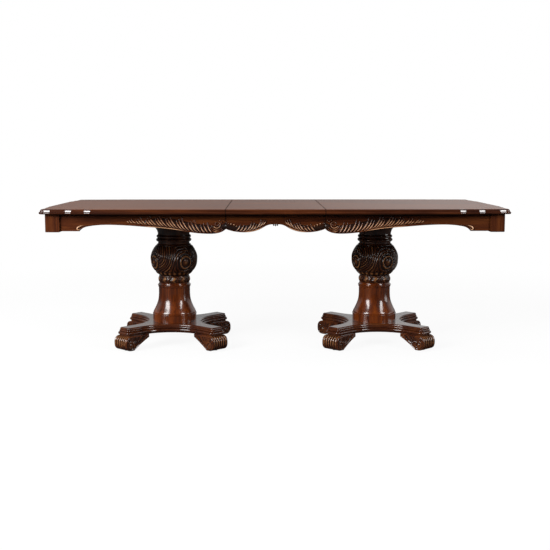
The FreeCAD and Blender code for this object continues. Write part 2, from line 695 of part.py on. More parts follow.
def headed_stud(x, y, plate_top):
    """A plate under the top with a headed stud that points down, at the back."""
    x_reach = LATCH_PLATE_WIDTH / 2
    y_reach = LATCH_PLATE_LENGTH / 2
    plate_bottom = plate_top - LATCH_PLATE_THICKNESS
    plate = box((x - x_reach, x + x_reach), (y - y_reach, y + y_reach), (plate_bottom, plate_top))
    stud = disc(x, y, (LATCH_HEAD_BOTTOM, plate_bottom), LATCH_STUD_RADIUS)
    head = disc(x, y, (LATCH_HEAD_BOTTOM, LATCH_HEAD_TOP), LATCH_HEAD_RADIUS)
    return plate.fuse([stud, head])


def latch_arm():
    """The back latch arm of the right half, unlocked and lying along the seam."""
    reach = LATCH_ARM_WIDTH / 2
    z_range = (LATCH_ARM_BOTTOM, LATCH_ARM_TOP)
    y_end = LATCH_OFFSET - LATCH_ARM_REACH
    arm = box((LATCH_X - reach, LATCH_X + reach), (y_end, LATCH_OFFSET), z_range)
    arm = arm.fuse([disc(LATCH_X, LATCH_OFFSET, z_range, reach), disc(LATCH_X, y_end, z_range, reach)])
    arm = arm.cut(disc(LATCH_X, LATCH_OFFSET, z_range, LATCH_STUD_RADIUS + LATCH_STUD_GAP))
    half_slot = LATCH_STUD_RADIUS + LATCH_SLOT_GAP
    slot = disc(LATCH_X, LATCH_OFFSET, z_range, LATCH_ARM_REACH + half_slot)
    slot = slot.cut(disc(LATCH_X, LATCH_OFFSET, z_range, LATCH_ARM_REACH - half_slot))
    mouth = box((LATCH_X - reach - CUT_OVERRUN, LATCH_X), (y_end - reach, LATCH_OFFSET - reach), z_range)
    arm = arm.cut(slot.common(mouth))
    return arm.cut(disc(LATCH_X, y_end, z_range, half_slot))


def leaf_top(whole):
    """The leaf, notched from below for the halves' pins."""
    leaf = top_cut(whole, (-LEAF_END, LEAF_END), LEAF_UNDERSIDE)
    radius = PIN_RADIUS + RUNNING_GAP
    middle = UNDERSIDE + TOP_THICKNESS / 2
    depth = PIN_REACH + RUNNING_GAP
    for sign in (1, -1):
        x_range = (sign * (LEAF_END - depth), sign * (LEAF_END + CUT_OVERRUN))
        for y in pin_places():
            leaf = leaf.cut(pin_bar(x_range, y, radius))
            leaf = leaf.cut(box(x_range, (y - radius, y + radius), (UNDERSIDE - CUT_OVERRUN, middle)))
    return leaf


def leaf_apron():
    """The back apron of the leaf, with a lobe at each end."""
    half = shaped_edge(LEAF_EDGE_SHARES, LEAF_END, -LEAF_END)
    curve = half + [Vector(-p.x, 0, p.z) for p in reversed(half[:-1])]
    corners = [curve[-1], Vector(-LEAF_END, 0, LEAF_UNDERSIDE), Vector(LEAF_END, 0, LEAF_UNDERSIDE),
               curve[0]]
    board = apron_face([curve], corners).extrude(Vector(0, APRON_THICKNESS, 0))
    return board.translated(Vector(0, APRON_INNER_Y, 0))


def leaf_cleat(side):
    """A batten under the leaf, between the slides."""
    x = side * CLEAT_FROM_CENTRE
    reach = SLIDE_OFFSET - slide_half_width() - CLEAT_RAIL_CLEARANCE
    return box((x - CLEAT_WIDTH / 2, x + CLEAT_WIDTH / 2), (-reach, reach),
               (LEAF_UNDERSIDE - CLEAT_THICKNESS, LEAF_UNDERSIDE))


def turned(stretches, radius, bottom, height):
    """A solid of revolution about the pedestal's axis, from stretches of shares."""
    edges = []
    for stretch in stretches:
        edges.append(spline([Vector(radius * out, 0, bottom + height * up) for out, up in stretch]))
    first = Vector(radius * stretches[0][0][0], 0, bottom)
    last = Vector(radius * stretches[-1][-1][0], 0, bottom + height)
    low, high = Vector(0, 0, bottom), Vector(0, 0, bottom + height)
    edges += [Part.makeLine(last, high), Part.makeLine(high, low), Part.makeLine(low, first)]
    return face_of(edges).revolve(ORIGIN, Vector(0, 0, 1), 360)


def rod_bore(z_range):
    """The bore for the tie rod, run past both ends."""
    bore = (min(z_range) - CUT_OVERRUN - SPIGOT_HEIGHT, max(z_range) + CUT_OVERRUN)
    return disc(0, 0, bore, ROD_RADIUS + ROD_BORE_GAP)


def socket(top):
    """The socket in a piece's top for the spigot of the piece above."""
    return disc(0, 0, (top - SPIGOT_HEIGHT - ROD_BORE_GAP, top), SPIGOT_RADIUS + SPIGOT_GAP)


def column_piece(stretches, radius, bottom, height, has_socket):
    """A turned piece with a spigot below, a bore for the rod and, in most, a socket above."""
    piece = turned(stretches, radius, bottom, height)
    piece = piece.fuse(disc(0, 0, (bottom - SPIGOT_HEIGHT, bottom), SPIGOT_RADIUS))
    piece = piece.cut(rod_bore((bottom, bottom + height)))
    return piece.cut(socket(bottom + height)) if has_socket else piece


def diagonal(along, across, quarter):
    """A point of the base at a distance along one arm and across it."""
    turn = math.radians(45.0) + quarter * math.pi / 2
    c, s = math.cos(turn), math.sin(turn)
    return Vector(along * c - across * s, along * s + across * c, 0)


def platform_slab(inset, z_range):
    """A slab with the platform's outline, drawn in by an inset."""
    half = ARM_WIDTH / 2 - inset
    tip = ARM_REACH - inset
    corner = ARM_CORNER_RADIUS - inset
    hollow = ARM_HOLLOW_RADIUS + inset
    vertex = half + hollow
    rise = Vector(0, 0, min(z_range))
    arcs = []
    for quarter in range(4):
        for sign in (-1, 1):
            centre = diagonal(tip - corner, sign * (half - corner), quarter)
            side = diagonal(tip - corner, sign * half, quarter)
            front = diagonal(tip, sign * (half - corner), quarter)
            ends = (side, front) if sign < 0 else (front, side)
            arcs.append(tuple(p + rise for p in arc_round(centre, *ends)))
        centre = diagonal(vertex, vertex, quarter)
        ends = (diagonal(vertex, half, quarter), diagonal(half, vertex, quarter))
        arcs.append(tuple(p + rise for p in arc_round(centre, *ends)))
    return face_of(outline_edges(arcs)).extrude(Vector(0, 0, max(z_range) - min(z_range)))


def platform():
    """The four-armed platform with its reeded edge."""
    levels = [FOOT_TOP]
    for height in (UNDERCUT_HEIGHT, LOWER_BEAD_HEIGHT, UPPER_BEAD_HEIGHT):
        levels.append(levels[-1] + height)
    undercut = platform_slab(UNDERCUT_DEPTH, (levels[0], levels[1]))
    lower = platform_slab(0, (levels[1], levels[2]))
    lower = lower.makeFillet(LOWER_BEAD_RADIUS, rim_edges(lower, levels[1]) + rim_edges(lower, levels[2]))
    upper = platform_slab(UPPER_BEAD_INSET, (levels[2], levels[3]))
    upper = upper.makeFillet(UPPER_BEAD_RADIUS, rim_edges(upper, levels[2]) + rim_edges(upper, levels[3]))
    crown = platform_slab(PLATFORM_ROUND_INSET, (levels[3], PLATFORM_TOP))
    crown = crown.makeFillet(PLATFORM_ROUND_RADIUS, rim_edges(crown, PLATFORM_TOP))
    whole = undercut.fuse([lower, upper, crown])
    whole = whole.cut(rod_bore((FOOT_TOP, PLATFORM_TOP))).cut(socket(PLATFORM_TOP))
    return whole.cut(disc(0, 0, (FOOT_TOP - CUT_OVERRUN, FOOT_TOP + ROD_POCKET_DEPTH), ROD_POCKET_RADIUS))


def glide_stem(radius, top):
    """The stem of a glide under the foot that points along +X."""
    return disc(FOOT_REACH - GLIDE_FROM_TOE, 0, (GLIDE_HEIGHT, top), radius)


def glide():
    """A glide and its stem under the foot that points along +X."""
    pad = disc(FOOT_REACH - GLIDE_FROM_TOE, 0, (0, GLIDE_HEIGHT), GLIDE_RADIUS)
    return pad.fuse(glide_stem(GLIDE_STEM_RADIUS, GLIDE_HEIGHT + GLIDE_STEM_LENGTH))


def foot():
    """A scroll foot that points along +X: a rolled toe, a short sole and a hollow underside."""
    y = -FOOT_WIDTH / 2
    roll = FOOT_HEIGHT / 2
    heel = FOOT_REACH - FOOT_LENGTH
    roll_x = FOOT_REACH - roll
    sole = roll_x - FOOT_SOLE_LENGTH
    heel_low = FOOT_TOP - FOOT_HEIGHT * FOOT_HEEL_HEIGHT_SHARE
    back, up = FOOT_HOLLOW_SHARES
    hollow = [Vector(sole, y, GLIDE_HEIGHT),
              Vector(sole + (heel - sole) * back, y, GLIDE_HEIGHT + (heel_low - GLIDE_HEIGHT) * up),
              Vector(heel, y, heel_low)]
    toe = (Vector(roll_x, y, FOOT_TOP), Vector(FOOT_REACH, y, GLIDE_HEIGHT + roll),
           Vector(roll_x, y, GLIDE_HEIGHT))
    edges = [Part.Arc(*toe).toShape(), Part.makeLine(toe[2], hollow[0]), Part.Arc(*hollow).toShape(),
             Part.makeLine(hollow[2], Vector(heel, y, FOOT_TOP)),
             Part.makeLine(Vector(heel, y, FOOT_TOP), toe[0])]
    block = face_of(edges).extrude(Vector(0, FOOT_WIDTH, 0))
    toe_rims = [edge for edge in block.Edges if edge.BoundBox.XMin > roll_x - GLUE_GAP
                and edge.BoundBox.YLength < GLUE_GAP]
    block = block.makeFillet(FOOT_EDGE_RADIUS, toe_rims)
    return block.cut(glide_stem(GLIDE_STEM_RADIUS + GLUE_GAP, GLIDE_HEIGHT + GLIDE_STEM_LENGTH + GLUE_GAP))


def turned_to(shape, quarter):
    """A shape drawn along +X, turned to one of the four diagonals."""
    return shape.rotated(ORIGIN, Vector(0, 0, 1), 45 + 90 * quarter)


def hex_nut(bottom):
    """A nut on the tie rod."""
    reach = NUT_FLATS / math.sqrt(3)
    points = [Vector(reach * math.cos(math.pi * side / 3), reach * math.sin(math.pi * side / 3), bottom)
              for side in range(6)]
    nut = polygon_prism(points, Vector(0, 0, NUT_HEIGHT))
    return nut.cut(disc(0, 0, (bottom, bottom + NUT_HEIGHT), ROD_RADIUS + GLUE_GAP))


def washer(bottom):
    """A washer on the tie rod."""
    z_range = (bottom, bottom + WASHER_THICKNESS)
    return disc(0, 0, z_range, WASHER_RADIUS).cut(disc(0, 0, z_range, ROD_RADIUS + GLUE_GAP))


def tie_rod():
    """The rod that clamps the column, with a nut and washer at each end."""
    seat = FOOT_TOP + ROD_POCKET_DEPTH
    low_washer = seat - WASHER_THICKNESS
    low_nut = low_washer - NUT_HEIGHT
    high_nut = PLATE_TOP + WASHER_THICKNESS
    rod = disc(0, 0, (low_nut - ROD_END, high_nut + NUT_HEIGHT + ROD_END), ROD_RADIUS)
    return [rod, washer(low_washer), hex_nut(low_nut), washer(PLATE_TOP), hex_nut(high_nut)]


def pedestal_bearer():
    """The back bearer between the plate and the top, drilled for its screws."""
    x_range = (PEDESTAL_X - BEARER_LENGTH / 2, PEDESTAL_X + BEARER_LENGTH / 2)
    y_range = (BEARER_OFFSET - BEARER_WIDTH / 2, BEARER_OFFSET + BEARER_WIDTH / 2)
    bearer = box(x_range, y_range, (PLATE_TOP, UNDERSIDE))
    bearer = with_screw_holes(bearer, [p for p in bearer_screws() if p[1] > 0], TOP_SCREW_LENGTH)
    for place in plate_screws():
        bearer = bearer.cut(screw(*place[:3], PLATE_SCREW_LENGTH, GLUE_GAP))
    return bearer


def mounting_plate():
    """The plate on top of the column, drilled for its screws and the rod."""
    x_range = (PEDESTAL_X - PLATE_LENGTH / 2, PEDESTAL_X + PLATE_LENGTH / 2)
    plate = box(x_range, (-PLATE_WIDTH / 2, PLATE_WIDTH / 2), (CAPITAL_TOP, PLATE_TOP))
    plate = plate.cut(rod_bore((CAPITAL_TOP, PLATE_TOP)).translated(Vector(PEDESTAL_X, 0, 0)))
    return with_screw_holes(plate, plate_screws(), PLATE_SCREW_LENGTH)


def write_half(name, side, whole):
    """Writes the pieces of one half of the table's top and frame."""
    long_board, end_board = long_apron(), end_apron()
    post = corner_post((long_board, end_board))
    screws = [screw(*place[:3], TOP_SCREW_LENGTH) for place in rail_screws(side) + bearer_screws()]
    screws += [screw(*place[:3], PLATE_SCREW_LENGTH) for place in plate_screws()]
    pins = [pin_bar(pin_range(), y, PIN_RADIUS) for y in pin_places()]
    latch_plate = headed_stud(LATCH_X, LATCH_OFFSET, UNDERSIDE)
    arms = both_ways(latch_arm())
    pieces = {
        "top": [half_top(whole, side)],
        "back_apron": [long_board],
        "front_apron": [flipped_y(long_board)],
        "end_apron": [end_board],
        "corner_posts": both_ways(post),
        "corner_braces": both_ways(corner_brace()),
        "cross_bearer": [cross_bearer()],
        "slide_rails": both_ways(slide_rail(side)),
        "rack_strips": both_ways(rack_strip(side)),
        "leaf_pins": pins,
        "latch_plates": both_ways(latch_plate),
        "back_latch_arm": arms[:1],
        "front_latch_arm": arms[1:],
        "frame_screws": screws,
    }
    for piece, shapes in pieces.items():
        write(name + "_" + piece, *[on_side(shape, side) for shape in shapes])


def write_pedestal(name, side):
    """Writes the pieces of one pedestal."""
    feet = [turned_to(foot(), quarter) for quarter in range(4)]
    column = {
        "capital": [column_piece(CAPITAL_SHARES, CAPITAL_RADIUS, BALL_TOP, CAPITAL_HEIGHT, False)],
        "ball": [column_piece(BALL_SHARES, BALL_RADIUS, COLLAR_TOP, BALL_HEIGHT, True)],
        "collar": [column_piece(COLLAR_SHARES, COLLAR_RADIUS, VASE_TOP, COLLAR_HEIGHT, True)],
        "vase": [column_piece(VASE_SHARES, VASE_RADIUS, PLATFORM_TOP, VASE_HEIGHT, True)],
        "platform": [platform()],
        "back_feet": feet[:2],
        "front_feet": feet[2:],
        "glides": [turned_to(glide(), quarter) for quarter in range(4)],
        "tie_rod": tie_rod(),
    }
    for piece, shapes in column.items():
        place = Vector(PEDESTAL_X, 0, 0)
        write(name + "_" + piece, *[on_side(shape.translated(place), side) for shape in shapes])
    write(name + "_pedestal_bearers", *[on_side(shape, side) for shape in both_ways(pedestal_bearer())])
    write(name + "_mounting_plate", on_side(mounting_plate(), side))


def write_leaf(whole):
    """Writes the pieces of the leaf."""
    apron = leaf_apron()
    catches = [headed_stud(sign * CATCH_X, LATCH_OFFSET, LEAF_UNDERSIDE) for sign in (1, -1)]
    write("leaf_top", leaf_top(whole))
    write("leaf_back_apron", apron)
    write("leaf_front_apron", flipped_y(apron))
    write("leaf_cleats", leaf_cleat(1), leaf_cleat(-1))
    write("leaf_catch_plates", *[shape for catch in catches for shape in both_ways(catch)])


def write_carriage():
    """Writes the centre rails, their tie and the equalising gear."""
    gear = pinion()
    write("centre_rails", *both_ways(centre_rail()))
    write("carriage_tie", carriage_tie())
    write("pinion_axles", *both_ways(axle(AXLE_RADIUS)))
    write("back_pinion", gear)
    write("front_pinion", flipped_y(gear))


def main():
    """Builds the table and writes every node."""
    os.makedirs("parts", exist_ok=True)
    whole = whole_top()
    for name, side in (("left", -1), ("right", 1)):
        write_half(name, side, whole)
        write_pedestal(name, side)
    write_leaf(whole)
    write_carriage()


main()
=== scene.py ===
"""Looks of a carved double pedestal dining table, in metres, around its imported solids."""

import logging
import math
from dataclasses import dataclass
from enum import Enum
from functools import cached_property
from typing import Callable, Optional, Sequence, Union

import bmesh
import bpy
import numpy as np
from bmesh.types import BMesh, BMVert
from bpy.types import Material
from mathutils import Matrix, Vector


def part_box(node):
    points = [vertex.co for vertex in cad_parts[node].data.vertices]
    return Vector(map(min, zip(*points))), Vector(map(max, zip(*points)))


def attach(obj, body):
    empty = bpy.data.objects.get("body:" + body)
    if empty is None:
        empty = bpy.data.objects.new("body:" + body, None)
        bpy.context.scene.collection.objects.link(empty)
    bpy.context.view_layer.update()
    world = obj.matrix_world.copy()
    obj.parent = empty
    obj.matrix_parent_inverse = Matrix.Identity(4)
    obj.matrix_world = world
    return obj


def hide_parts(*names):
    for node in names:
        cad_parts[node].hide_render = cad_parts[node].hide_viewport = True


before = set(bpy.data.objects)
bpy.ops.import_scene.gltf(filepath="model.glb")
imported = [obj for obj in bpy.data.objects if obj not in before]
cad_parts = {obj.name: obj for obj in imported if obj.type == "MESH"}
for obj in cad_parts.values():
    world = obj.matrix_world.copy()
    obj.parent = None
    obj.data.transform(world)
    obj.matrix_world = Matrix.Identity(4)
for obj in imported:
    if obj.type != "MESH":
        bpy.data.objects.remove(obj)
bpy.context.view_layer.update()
LOG = logging.getLogger("table")
MM = 0.001
RELIEF = "relief"
SIDES = (("left", -1.0), ("right", 1.0))
FRONTS = (("front", -1.0), ("back", 1.0))
# Each pedestal's axis in X and the turn of its carving in degrees.
PEDESTALS = ((-0.5692, -99.0), (0.5692, -106.0))
UP = (0.0, 0.0, 1.0)
HOME = Matrix.Identity(4)
Colour = tuple[float, float, float, float]
Pair = tuple[float, float]
Pairs = tuple[Pair, ...]
Step = tuple[float, float, float, float]
Loop = Sequence[tuple[float, float, float, float]]
Number = Union[float, "Value"]


def mm(*sizes: float) -> tuple[float, ...]:
    """Some sizes in millimetres, as metres."""
    return tuple(size * MM for size in sizes)


def math_step(operation: str, swapped: bool = False) -> Callable[..., "Value"]:
    """A method that puts one Math node on a value and on what is given with it.

    Args:
        operation: Blender's name of the operation.
        swapped: whether what is given comes first.

    Returns:
        The method.
    """
    def method(self: "Value", other: Number = 0.0) -> "Value":
        """Adds the node."""
        terms = (other, self) if swapped else (self, other)
        return self.shader.node("ShaderNodeMath", {"operation": operation}, dict(enumerate(terms)))
    return method


class Value:
    """A shader socket that takes part in plain arithmetic, one Math node a step."""

    def __init__(self, shader: "Shader", socket: bpy.types.NodeSocket) -> None:
        """Keeps the socket and the shader that it belongs to."""
        self.shader = shader
        self.socket = socket

    __add__ = __radd__ = math_step("ADD")
    __mul__ = __rmul__ = math_step("MULTIPLY")
    __sub__ = math_step("SUBTRACT")
    __rsub__ = math_step("SUBTRACT", swapped=True)
    __abs__ = math_step("ABSOLUTE")

    def rise(self, low: float, high: float, start: float = 0.0, end: float = 1.0) -> "Value":
        """A smooth step from the start at the low value to the end at the high one."""
        return self.shader.node("ShaderNodeMapRange", {"interpolation_type": "SMOOTHSTEP"}, {
            "Value": self, "From Min": low, "From Max": high, "To Min": start, "To Max": end})


class Shader:
    """The node tree of one material or world."""

    def __init__(self, tree: bpy.types.NodeTree) -> None:
        """Starts from an empty tree."""
        self.tree = tree
        tree.nodes.clear()

    def node(self, kind: str, settings: Optional[dict] = None, inputs: Optional[dict] = None,
             out: Union[int, str] = 0) -> Optional[Value]:
        """Adds one node.

        Args:
            kind: Blender's name of the node's type.
            settings: the node's own settings, with a ramp's colours under "stops".
            inputs: numbers, colours or values for its sockets, by name or place.
            out: the output that is wanted.

        Returns:
            That output, or None from a node that ends the tree.
        """
        made = self.tree.nodes.new(kind)
        for name, setting in (settings or {}).items():
            if name == "stops":
                self._stops(made.color_ramp, setting)
            else:
                setattr(made, name, setting)
        for key, value in (inputs or {}).items():
            if isinstance(value, Value):
                self.tree.links.new(value.socket, made.inputs[key])
            else:
                made.inputs[key].default_value = value
        return Value(self, made.outputs[out]) if made.outputs else None

    @staticmethod
    def _stops(ramp: bpy.types.ColorRamp, stops: Sequence[tuple[float, Colour]]) -> None:
        """Sets a ramp's colours.

        Args:
            ramp: the ramp.
            stops: its places and colours, in order.
        """
        while len(ramp.elements) < len(stops):
            ramp.elements.new(1.0)
        for element, (place, colour) in zip(ramp.elements, stops):
            element.position = place
            element.color = colour

    def mixed(self, share: Number, first: Union[Value, Colour], second: Union[Value, Colour]) -> Value:
        """A colour between two, by share of the second."""
        return self.node("ShaderNodeMix", {"data_type": "RGBA"}, {0: share, 6: first, 7: second}, 2)

    def object_place(self, stretch: Sequence[float] = (1.0, 1.0, 1.0)) -> Value:
        """Object coordinates, scaled along each axis."""
        place = self.node("ShaderNodeTexCoord", out="Object")
        return self.node("ShaderNodeMapping", inputs={"Vector": place, "Scale": stretch})

    def axis(self, vector: Value, name: str) -> Value:
        """One axis of a vector."""
        return self.node("ShaderNodeSeparateXYZ", inputs={0: vector}, out=name)

    def noise(self, place: Value, scale: float, detail: float) -> Value:
        """Soft noise from 0 to 1."""
        return self.node("ShaderNodeTexNoise", inputs={"Vector": place, "Scale": scale, "Detail": detail})

    def bump(self, height: Value, strength: float, distance: float) -> Value:
        """Normals tilted by a fine relief."""
        return self.node("ShaderNodeBump", inputs={
            "Strength": strength, "Distance": distance, "Height": height})

    def ray(self, kind: str) -> Value:
        """Whether a ray is of one kind."""
        return self.node("ShaderNodeLightPath", out=f"Is {kind} Ray")

    def end(self, surface: Value) -> None:
        """Ends a material in its surface."""
        self.node("ShaderNodeOutputMaterial", inputs={"Surface": surface})

    def end_principled(self, inputs: dict) -> None:
        """Ends a material in one principled surface."""
        self.end(self.node("ShaderNodeBsdfPrincipled", inputs=inputs))


def new_material(name: str) -> tuple[Material, Shader]:
    """An empty material and its shader.

    Args:
        name: the material's name.

    Returns:
        The material and its shader.
    """
    material = bpy.data.materials.new(name)
    material.use_nodes = True
    return material, Shader(material.node_tree)


def grey(level: float) -> Colour:
    """A colour without hue."""
    return (level, level, level, 1.0)


class Grain(Enum):
    """The way the grain runs, as the stretch of the pattern along each axis."""

    ALONG_X = (0.05, 1.0, 1.0)
    ALONG_Y = (1.0, 0.05, 1.0)
    ALONG_Z = (1.0, 1.0, 0.05)


@dataclass(frozen=True)
class WoodFinish:
    """Stained wood under lacquer; where it is carved, the hollows take a darker glaze that is partly painted
    shade, and the crests a lighter rubbed colour that is partly a painted highlight.
    """

    name: str
    grain: Grain
    dark: Colour = (0.018, 0.0042, 0.0022, 1.0)
    middle: Colour = (0.058, 0.0140, 0.0042, 1.0)
    light: Colour = (0.120, 0.0340, 0.0080, 1.0)
    rubbed_and_highlight: Colour = (0.240, 0.105, 0.0380, 1.0)
    glaze_and_shade: Colour = (0.007, 0.0030, 0.0020, 1.0)
    panel: Colour = (0.180, 0.0520, 0.0100, 1.0)
    roughness: float = 0.36
    rough_spread: float = 0.08
    specular: float = 0.06
    coat: float = 1.0
    coat_roughness: float = 0.10
    bump: float = 0.05
    bump_depth: float = 0.4 * MM
    carved: bool = False
    seams: tuple[float, ...] = ()
    panel_level: float = 0.0
    # Scale and detail of the figure, the streaks and the pores.
    noises: Pairs = ((26.0, 4.0), (150.0, 5.0), (900.0, 2.0))
    figure_share: float = 0.6
    tone_marks: tuple[float, float, float] = (0.34, 0.5, 0.68)
    veneer_range: Pair = (0.3, 0.7)
    # The marks that each smooth step lies between, and its values there.
    pore_step: Step = (0.58, 0.7, 0.0, 0.4)
    rubbed_and_highlight_step: Step = (0.8, 0.98, 0.0, 0.85)
    glaze_and_shade_step: Step = (0.2, 0.76, 0.92, 0.0)
    dull_step: Step = (0.1, 0.7, 0.25, 0.0)
    seam_dull: float = 0.6

    def material(self) -> Material:
        """The finish as a material.

        Returns:
            The material.
        """
        material, shader = new_material(self.name)
        place = shader.object_place(self.grain.value)
        figure, streak, pores = (shader.noise(place, *noise) for noise in self.noises)
        tone = figure * self.figure_share + streak * (1 - self.figure_share)
        stops = tuple(zip(self.tone_marks, (self.dark, self.middle, self.light)))
        colour = shader.node("ShaderNodeValToRGB", {"stops": stops}, {"Fac": tone})
        colour = shader.mixed(pores.rise(*self.pore_step), colour, self.dark)
        roughness = self.roughness + figure * self.rough_spread
        coat = self.coat
        if self.carved:
            relief = shader.node("ShaderNodeAttribute", {"attribute_name": RELIEF}, out="Fac")
            # Crests take the lighter rubbed colour: partly rubbed wear, partly a painted highlight.
            colour = shader.mixed(relief.rise(*self.rubbed_and_highlight_step), colour, self.rubbed_and_highlight)
            # Hollows take the dark glaze colour: partly real glaze, partly painted shade.
            colour = shader.mixed(relief.rise(*self.glaze_and_shade_step), colour, self.glaze_and_shade)
            roughness = roughness + relief.rise(*self.dull_step)
        if self.panel_level:
            level = shader.axis(shader.object_place(), "Z")
            veneer = shader.mixed(tone.rise(*self.veneer_range), self.light, self.panel)
            colour = shader.mixed(level.rise(self.panel_level - MM, self.panel_level), colour, veneer)
        if self.seams:
            middle, half_width = self.seams
            away = abs(abs(shader.axis(shader.object_place(), "X")) - middle)
            # The seams' dark line is painted shade of the joint's gap, in the glaze colour, duller and
            # without coat.
            line = away.rise(half_width * 0.6, half_width, 1.0, 0.0)
            colour = shader.mixed(line, colour, self.glaze_and_shade)
            roughness = roughness + line * self.seam_dull
            coat = (1 - line) * self.coat
        shader.end_principled({
            "Base Color": colour, "Roughness": roughness, "Specular IOR Level": self.specular,
            "Normal": shader.bump(streak + pores * 0.5, self.bump, self.bump_depth),
            "Coat Weight": coat, "Coat Roughness": self.coat_roughness})
        return material


@dataclass(frozen=True)
class SteelFinish:
    """Plated steel with fine brushing."""

    name: str = "zinc_plated_steel"
    colour: Colour = (0.52, 0.52, 0.50, 1.0)
    wear_and_highlight: Colour = (0.36, 0.35, 0.33, 1.0)
    worn_range: Pair = (0.35, 0.7)
    roughness: float = 0.25

    def material(self) -> Material:
        """The finish as a material.

        Returns:
            The material.
        """
        material, shader = new_material(self.name)
        brushed = shader.noise(shader.object_place((0.1, 1.0, 1.0)), 900.0, 3.0)
        cloud = shader.noise(shader.object_place(), 60.0, 2.0)
        shader.end_principled({
            "Base Color": shader.mixed(cloud.rise(*self.worn_range), self.colour, self.wear_and_highlight),
            "Roughness": self.roughness + brushed * self.roughness, "Metallic": 1.0})
        return material


@dataclass(frozen=True)
class NylonFinish:
    """Moulded nylon with a faint texture."""

    name: str = "moulded_nylon"
    colour: Colour = (0.060, 0.054, 0.050, 1.0)
    pale: Colour = (0.085, 0.078, 0.072, 1.0)
    roughness: float = 0.42
    rough_spread: float = 0.15

    def material(self) -> Material:
        """The finish as a material.

        Returns:
            The material.
        """
        material, shader = new_material(self.name)
        speckle = shader.noise(shader.object_place(), 700.0, 2.0)
        shader.end_principled({
            "Base Color": shader.mixed(speckle, self.colour, self.pale),
            "Roughness": self.roughness + speckle * self.rough_spread,
            "Normal": shader.bump(speckle, 0.15, 0.3 * MM)})
        return material


# What each finish is used for.
Use = Enum("Use", "TOP EDGE ALONG ACROSS UPRIGHT VASE SPRAY FOOT COLUMN PLATFORM FRAME RAIL STEEL NYLON")
# Where the seams are in X, either way, and half the width of their dark line, which is painted shade of the
# joint's gap in the glaze colour.
SEAM_LINE = (0.254, 0.0026)
TOP_TONES = {"dark": (0.012, 0.0028, 0.0014, 1.0), "middle": (0.034, 0.0080, 0.0024, 1.0),
             "light": (0.078, 0.0200, 0.0050, 1.0)}
FINISHES = {
    Use.TOP: WoodFinish("polished_top", Grain.ALONG_X, **TOP_TONES, panel=(0.217, 0.0600, 0.0110, 1.0),
                        coat=0.5, coat_roughness=0.05, bump=0.02, seams=SEAM_LINE, panel_level=0.7868),
    Use.EDGE: WoodFinish("polished_edge", Grain.ALONG_X, **TOP_TONES, roughness=0.10, specular=0.5,
                         coat_roughness=0.05, bump=0.0),
    Use.ALONG: WoodFinish("mahogany_along", Grain.ALONG_X, seams=SEAM_LINE),
    Use.ACROSS: WoodFinish("mahogany_across", Grain.ALONG_Y),
    Use.UPRIGHT: WoodFinish("mahogany_upright", Grain.ALONG_Z),
    Use.VASE: WoodFinish("mahogany_vase", Grain.ALONG_Z, middle=(0.086, 0.0160, 0.0020, 1.0),
                         light=(0.170, 0.0370, 0.0035, 1.0), coat_roughness=0.16, bump=0.008),
    # The carving's crests are painted in a light golden rubbed colour, partly a painted highlight.
    Use.SPRAY: WoodFinish("carved_mahogany", Grain.ALONG_X, rubbed_and_highlight=(0.560, 0.310, 0.1700, 1.0), coat=0.6,
                          coat_roughness=0.22, carved=True),
    Use.FOOT: WoodFinish("carved_foot", Grain.ALONG_X, carved=True),
    Use.COLUMN: WoodFinish("carved_mahogany_upright", Grain.ALONG_Z, middle=(0.046, 0.0115, 0.0036, 1.0),
                           light=(0.095, 0.0280, 0.0068, 1.0), coat=0.55, coat_roughness=0.22, carved=True),
    Use.PLATFORM: WoodFinish("mahogany_platform", Grain.ALONG_X, middle=(0.046, 0.0110, 0.0034, 1.0),
                             light=(0.092, 0.0260, 0.0062, 1.0)),
    Use.FRAME: WoodFinish("stained_frame_wood", Grain.ALONG_Y, roughness=0.5, coat=0.0),
    Use.RAIL: WoodFinish("waxed_rail_wood", Grain.ALONG_X, dark=(0.16, 0.085, 0.04, 1.0),
                         middle=(0.30, 0.18, 0.09, 1.0), light=(0.42, 0.27, 0.14, 1.0),
                         roughness=0.45, coat=0.0),
    Use.STEEL: SteelFinish(),
    Use.NYLON: NylonFinish(),
}
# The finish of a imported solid, by the end of its name; the first that fits counts.
SOLID_FINISHES = (
    (("_screws", "_rod", "_pins", "_plates", "_arm", "_axles"), Use.STEEL),
    (("_strips", "_pinion", "_glides"), Use.NYLON),
    (("_rails", "_tie"), Use.RAIL),
    (("_braces", "_bearer", "_bearers", "_plate", "_cleats"), Use.FRAME),
    (("_top",), Use.TOP),
    (("_vase",), Use.VASE),
    (("_platform",), Use.PLATFORM),
    (("end_apron",), Use.ACROSS),
    (("_apron",), Use.ALONG),
    (("",), Use.UPRIGHT),
)


class Finishes:
    """Every finish on the table, made once."""

    def __init__(self) -> None:
        """Makes the materials."""
        self.made = {use: finish.material() for use, finish in FINISHES.items()}

    def __getitem__(self, use: Use) -> Material:
        """The material for a use."""
        return self.made[use]

    def dress_solids(self) -> None:
        """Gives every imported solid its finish."""
        for name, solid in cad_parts.items():
            use = next(use for endings, use in SOLID_FINISHES if name.endswith(endings))
            solid.data.materials.clear()
            solid.data.materials.append(self[use])


def add_object(name: str, data: bpy.types.ID) -> bpy.types.Object:
    """A new object in the scene.

    Args:
        name: its name.
        data: its mesh, lamp or camera.

    Returns:
        The object.
    """
    made = bpy.data.objects.new(name, data)
    bpy.context.scene.collection.objects.link(made)
    return made


def new_mesh(name: str, bm: BMesh, material: Material) -> bpy.types.Mesh:
    """A bmesh as a mesh with its finish; the bmesh is freed.

    Args:
        name: its name.
        bm: its shape, which is freed.
        material: its finish.

    Returns:
        The mesh.
    """
    mesh = bpy.data.meshes.new(name)
    bm.to_mesh(mesh)
    bm.free()
    mesh.materials.append(material)
    return mesh


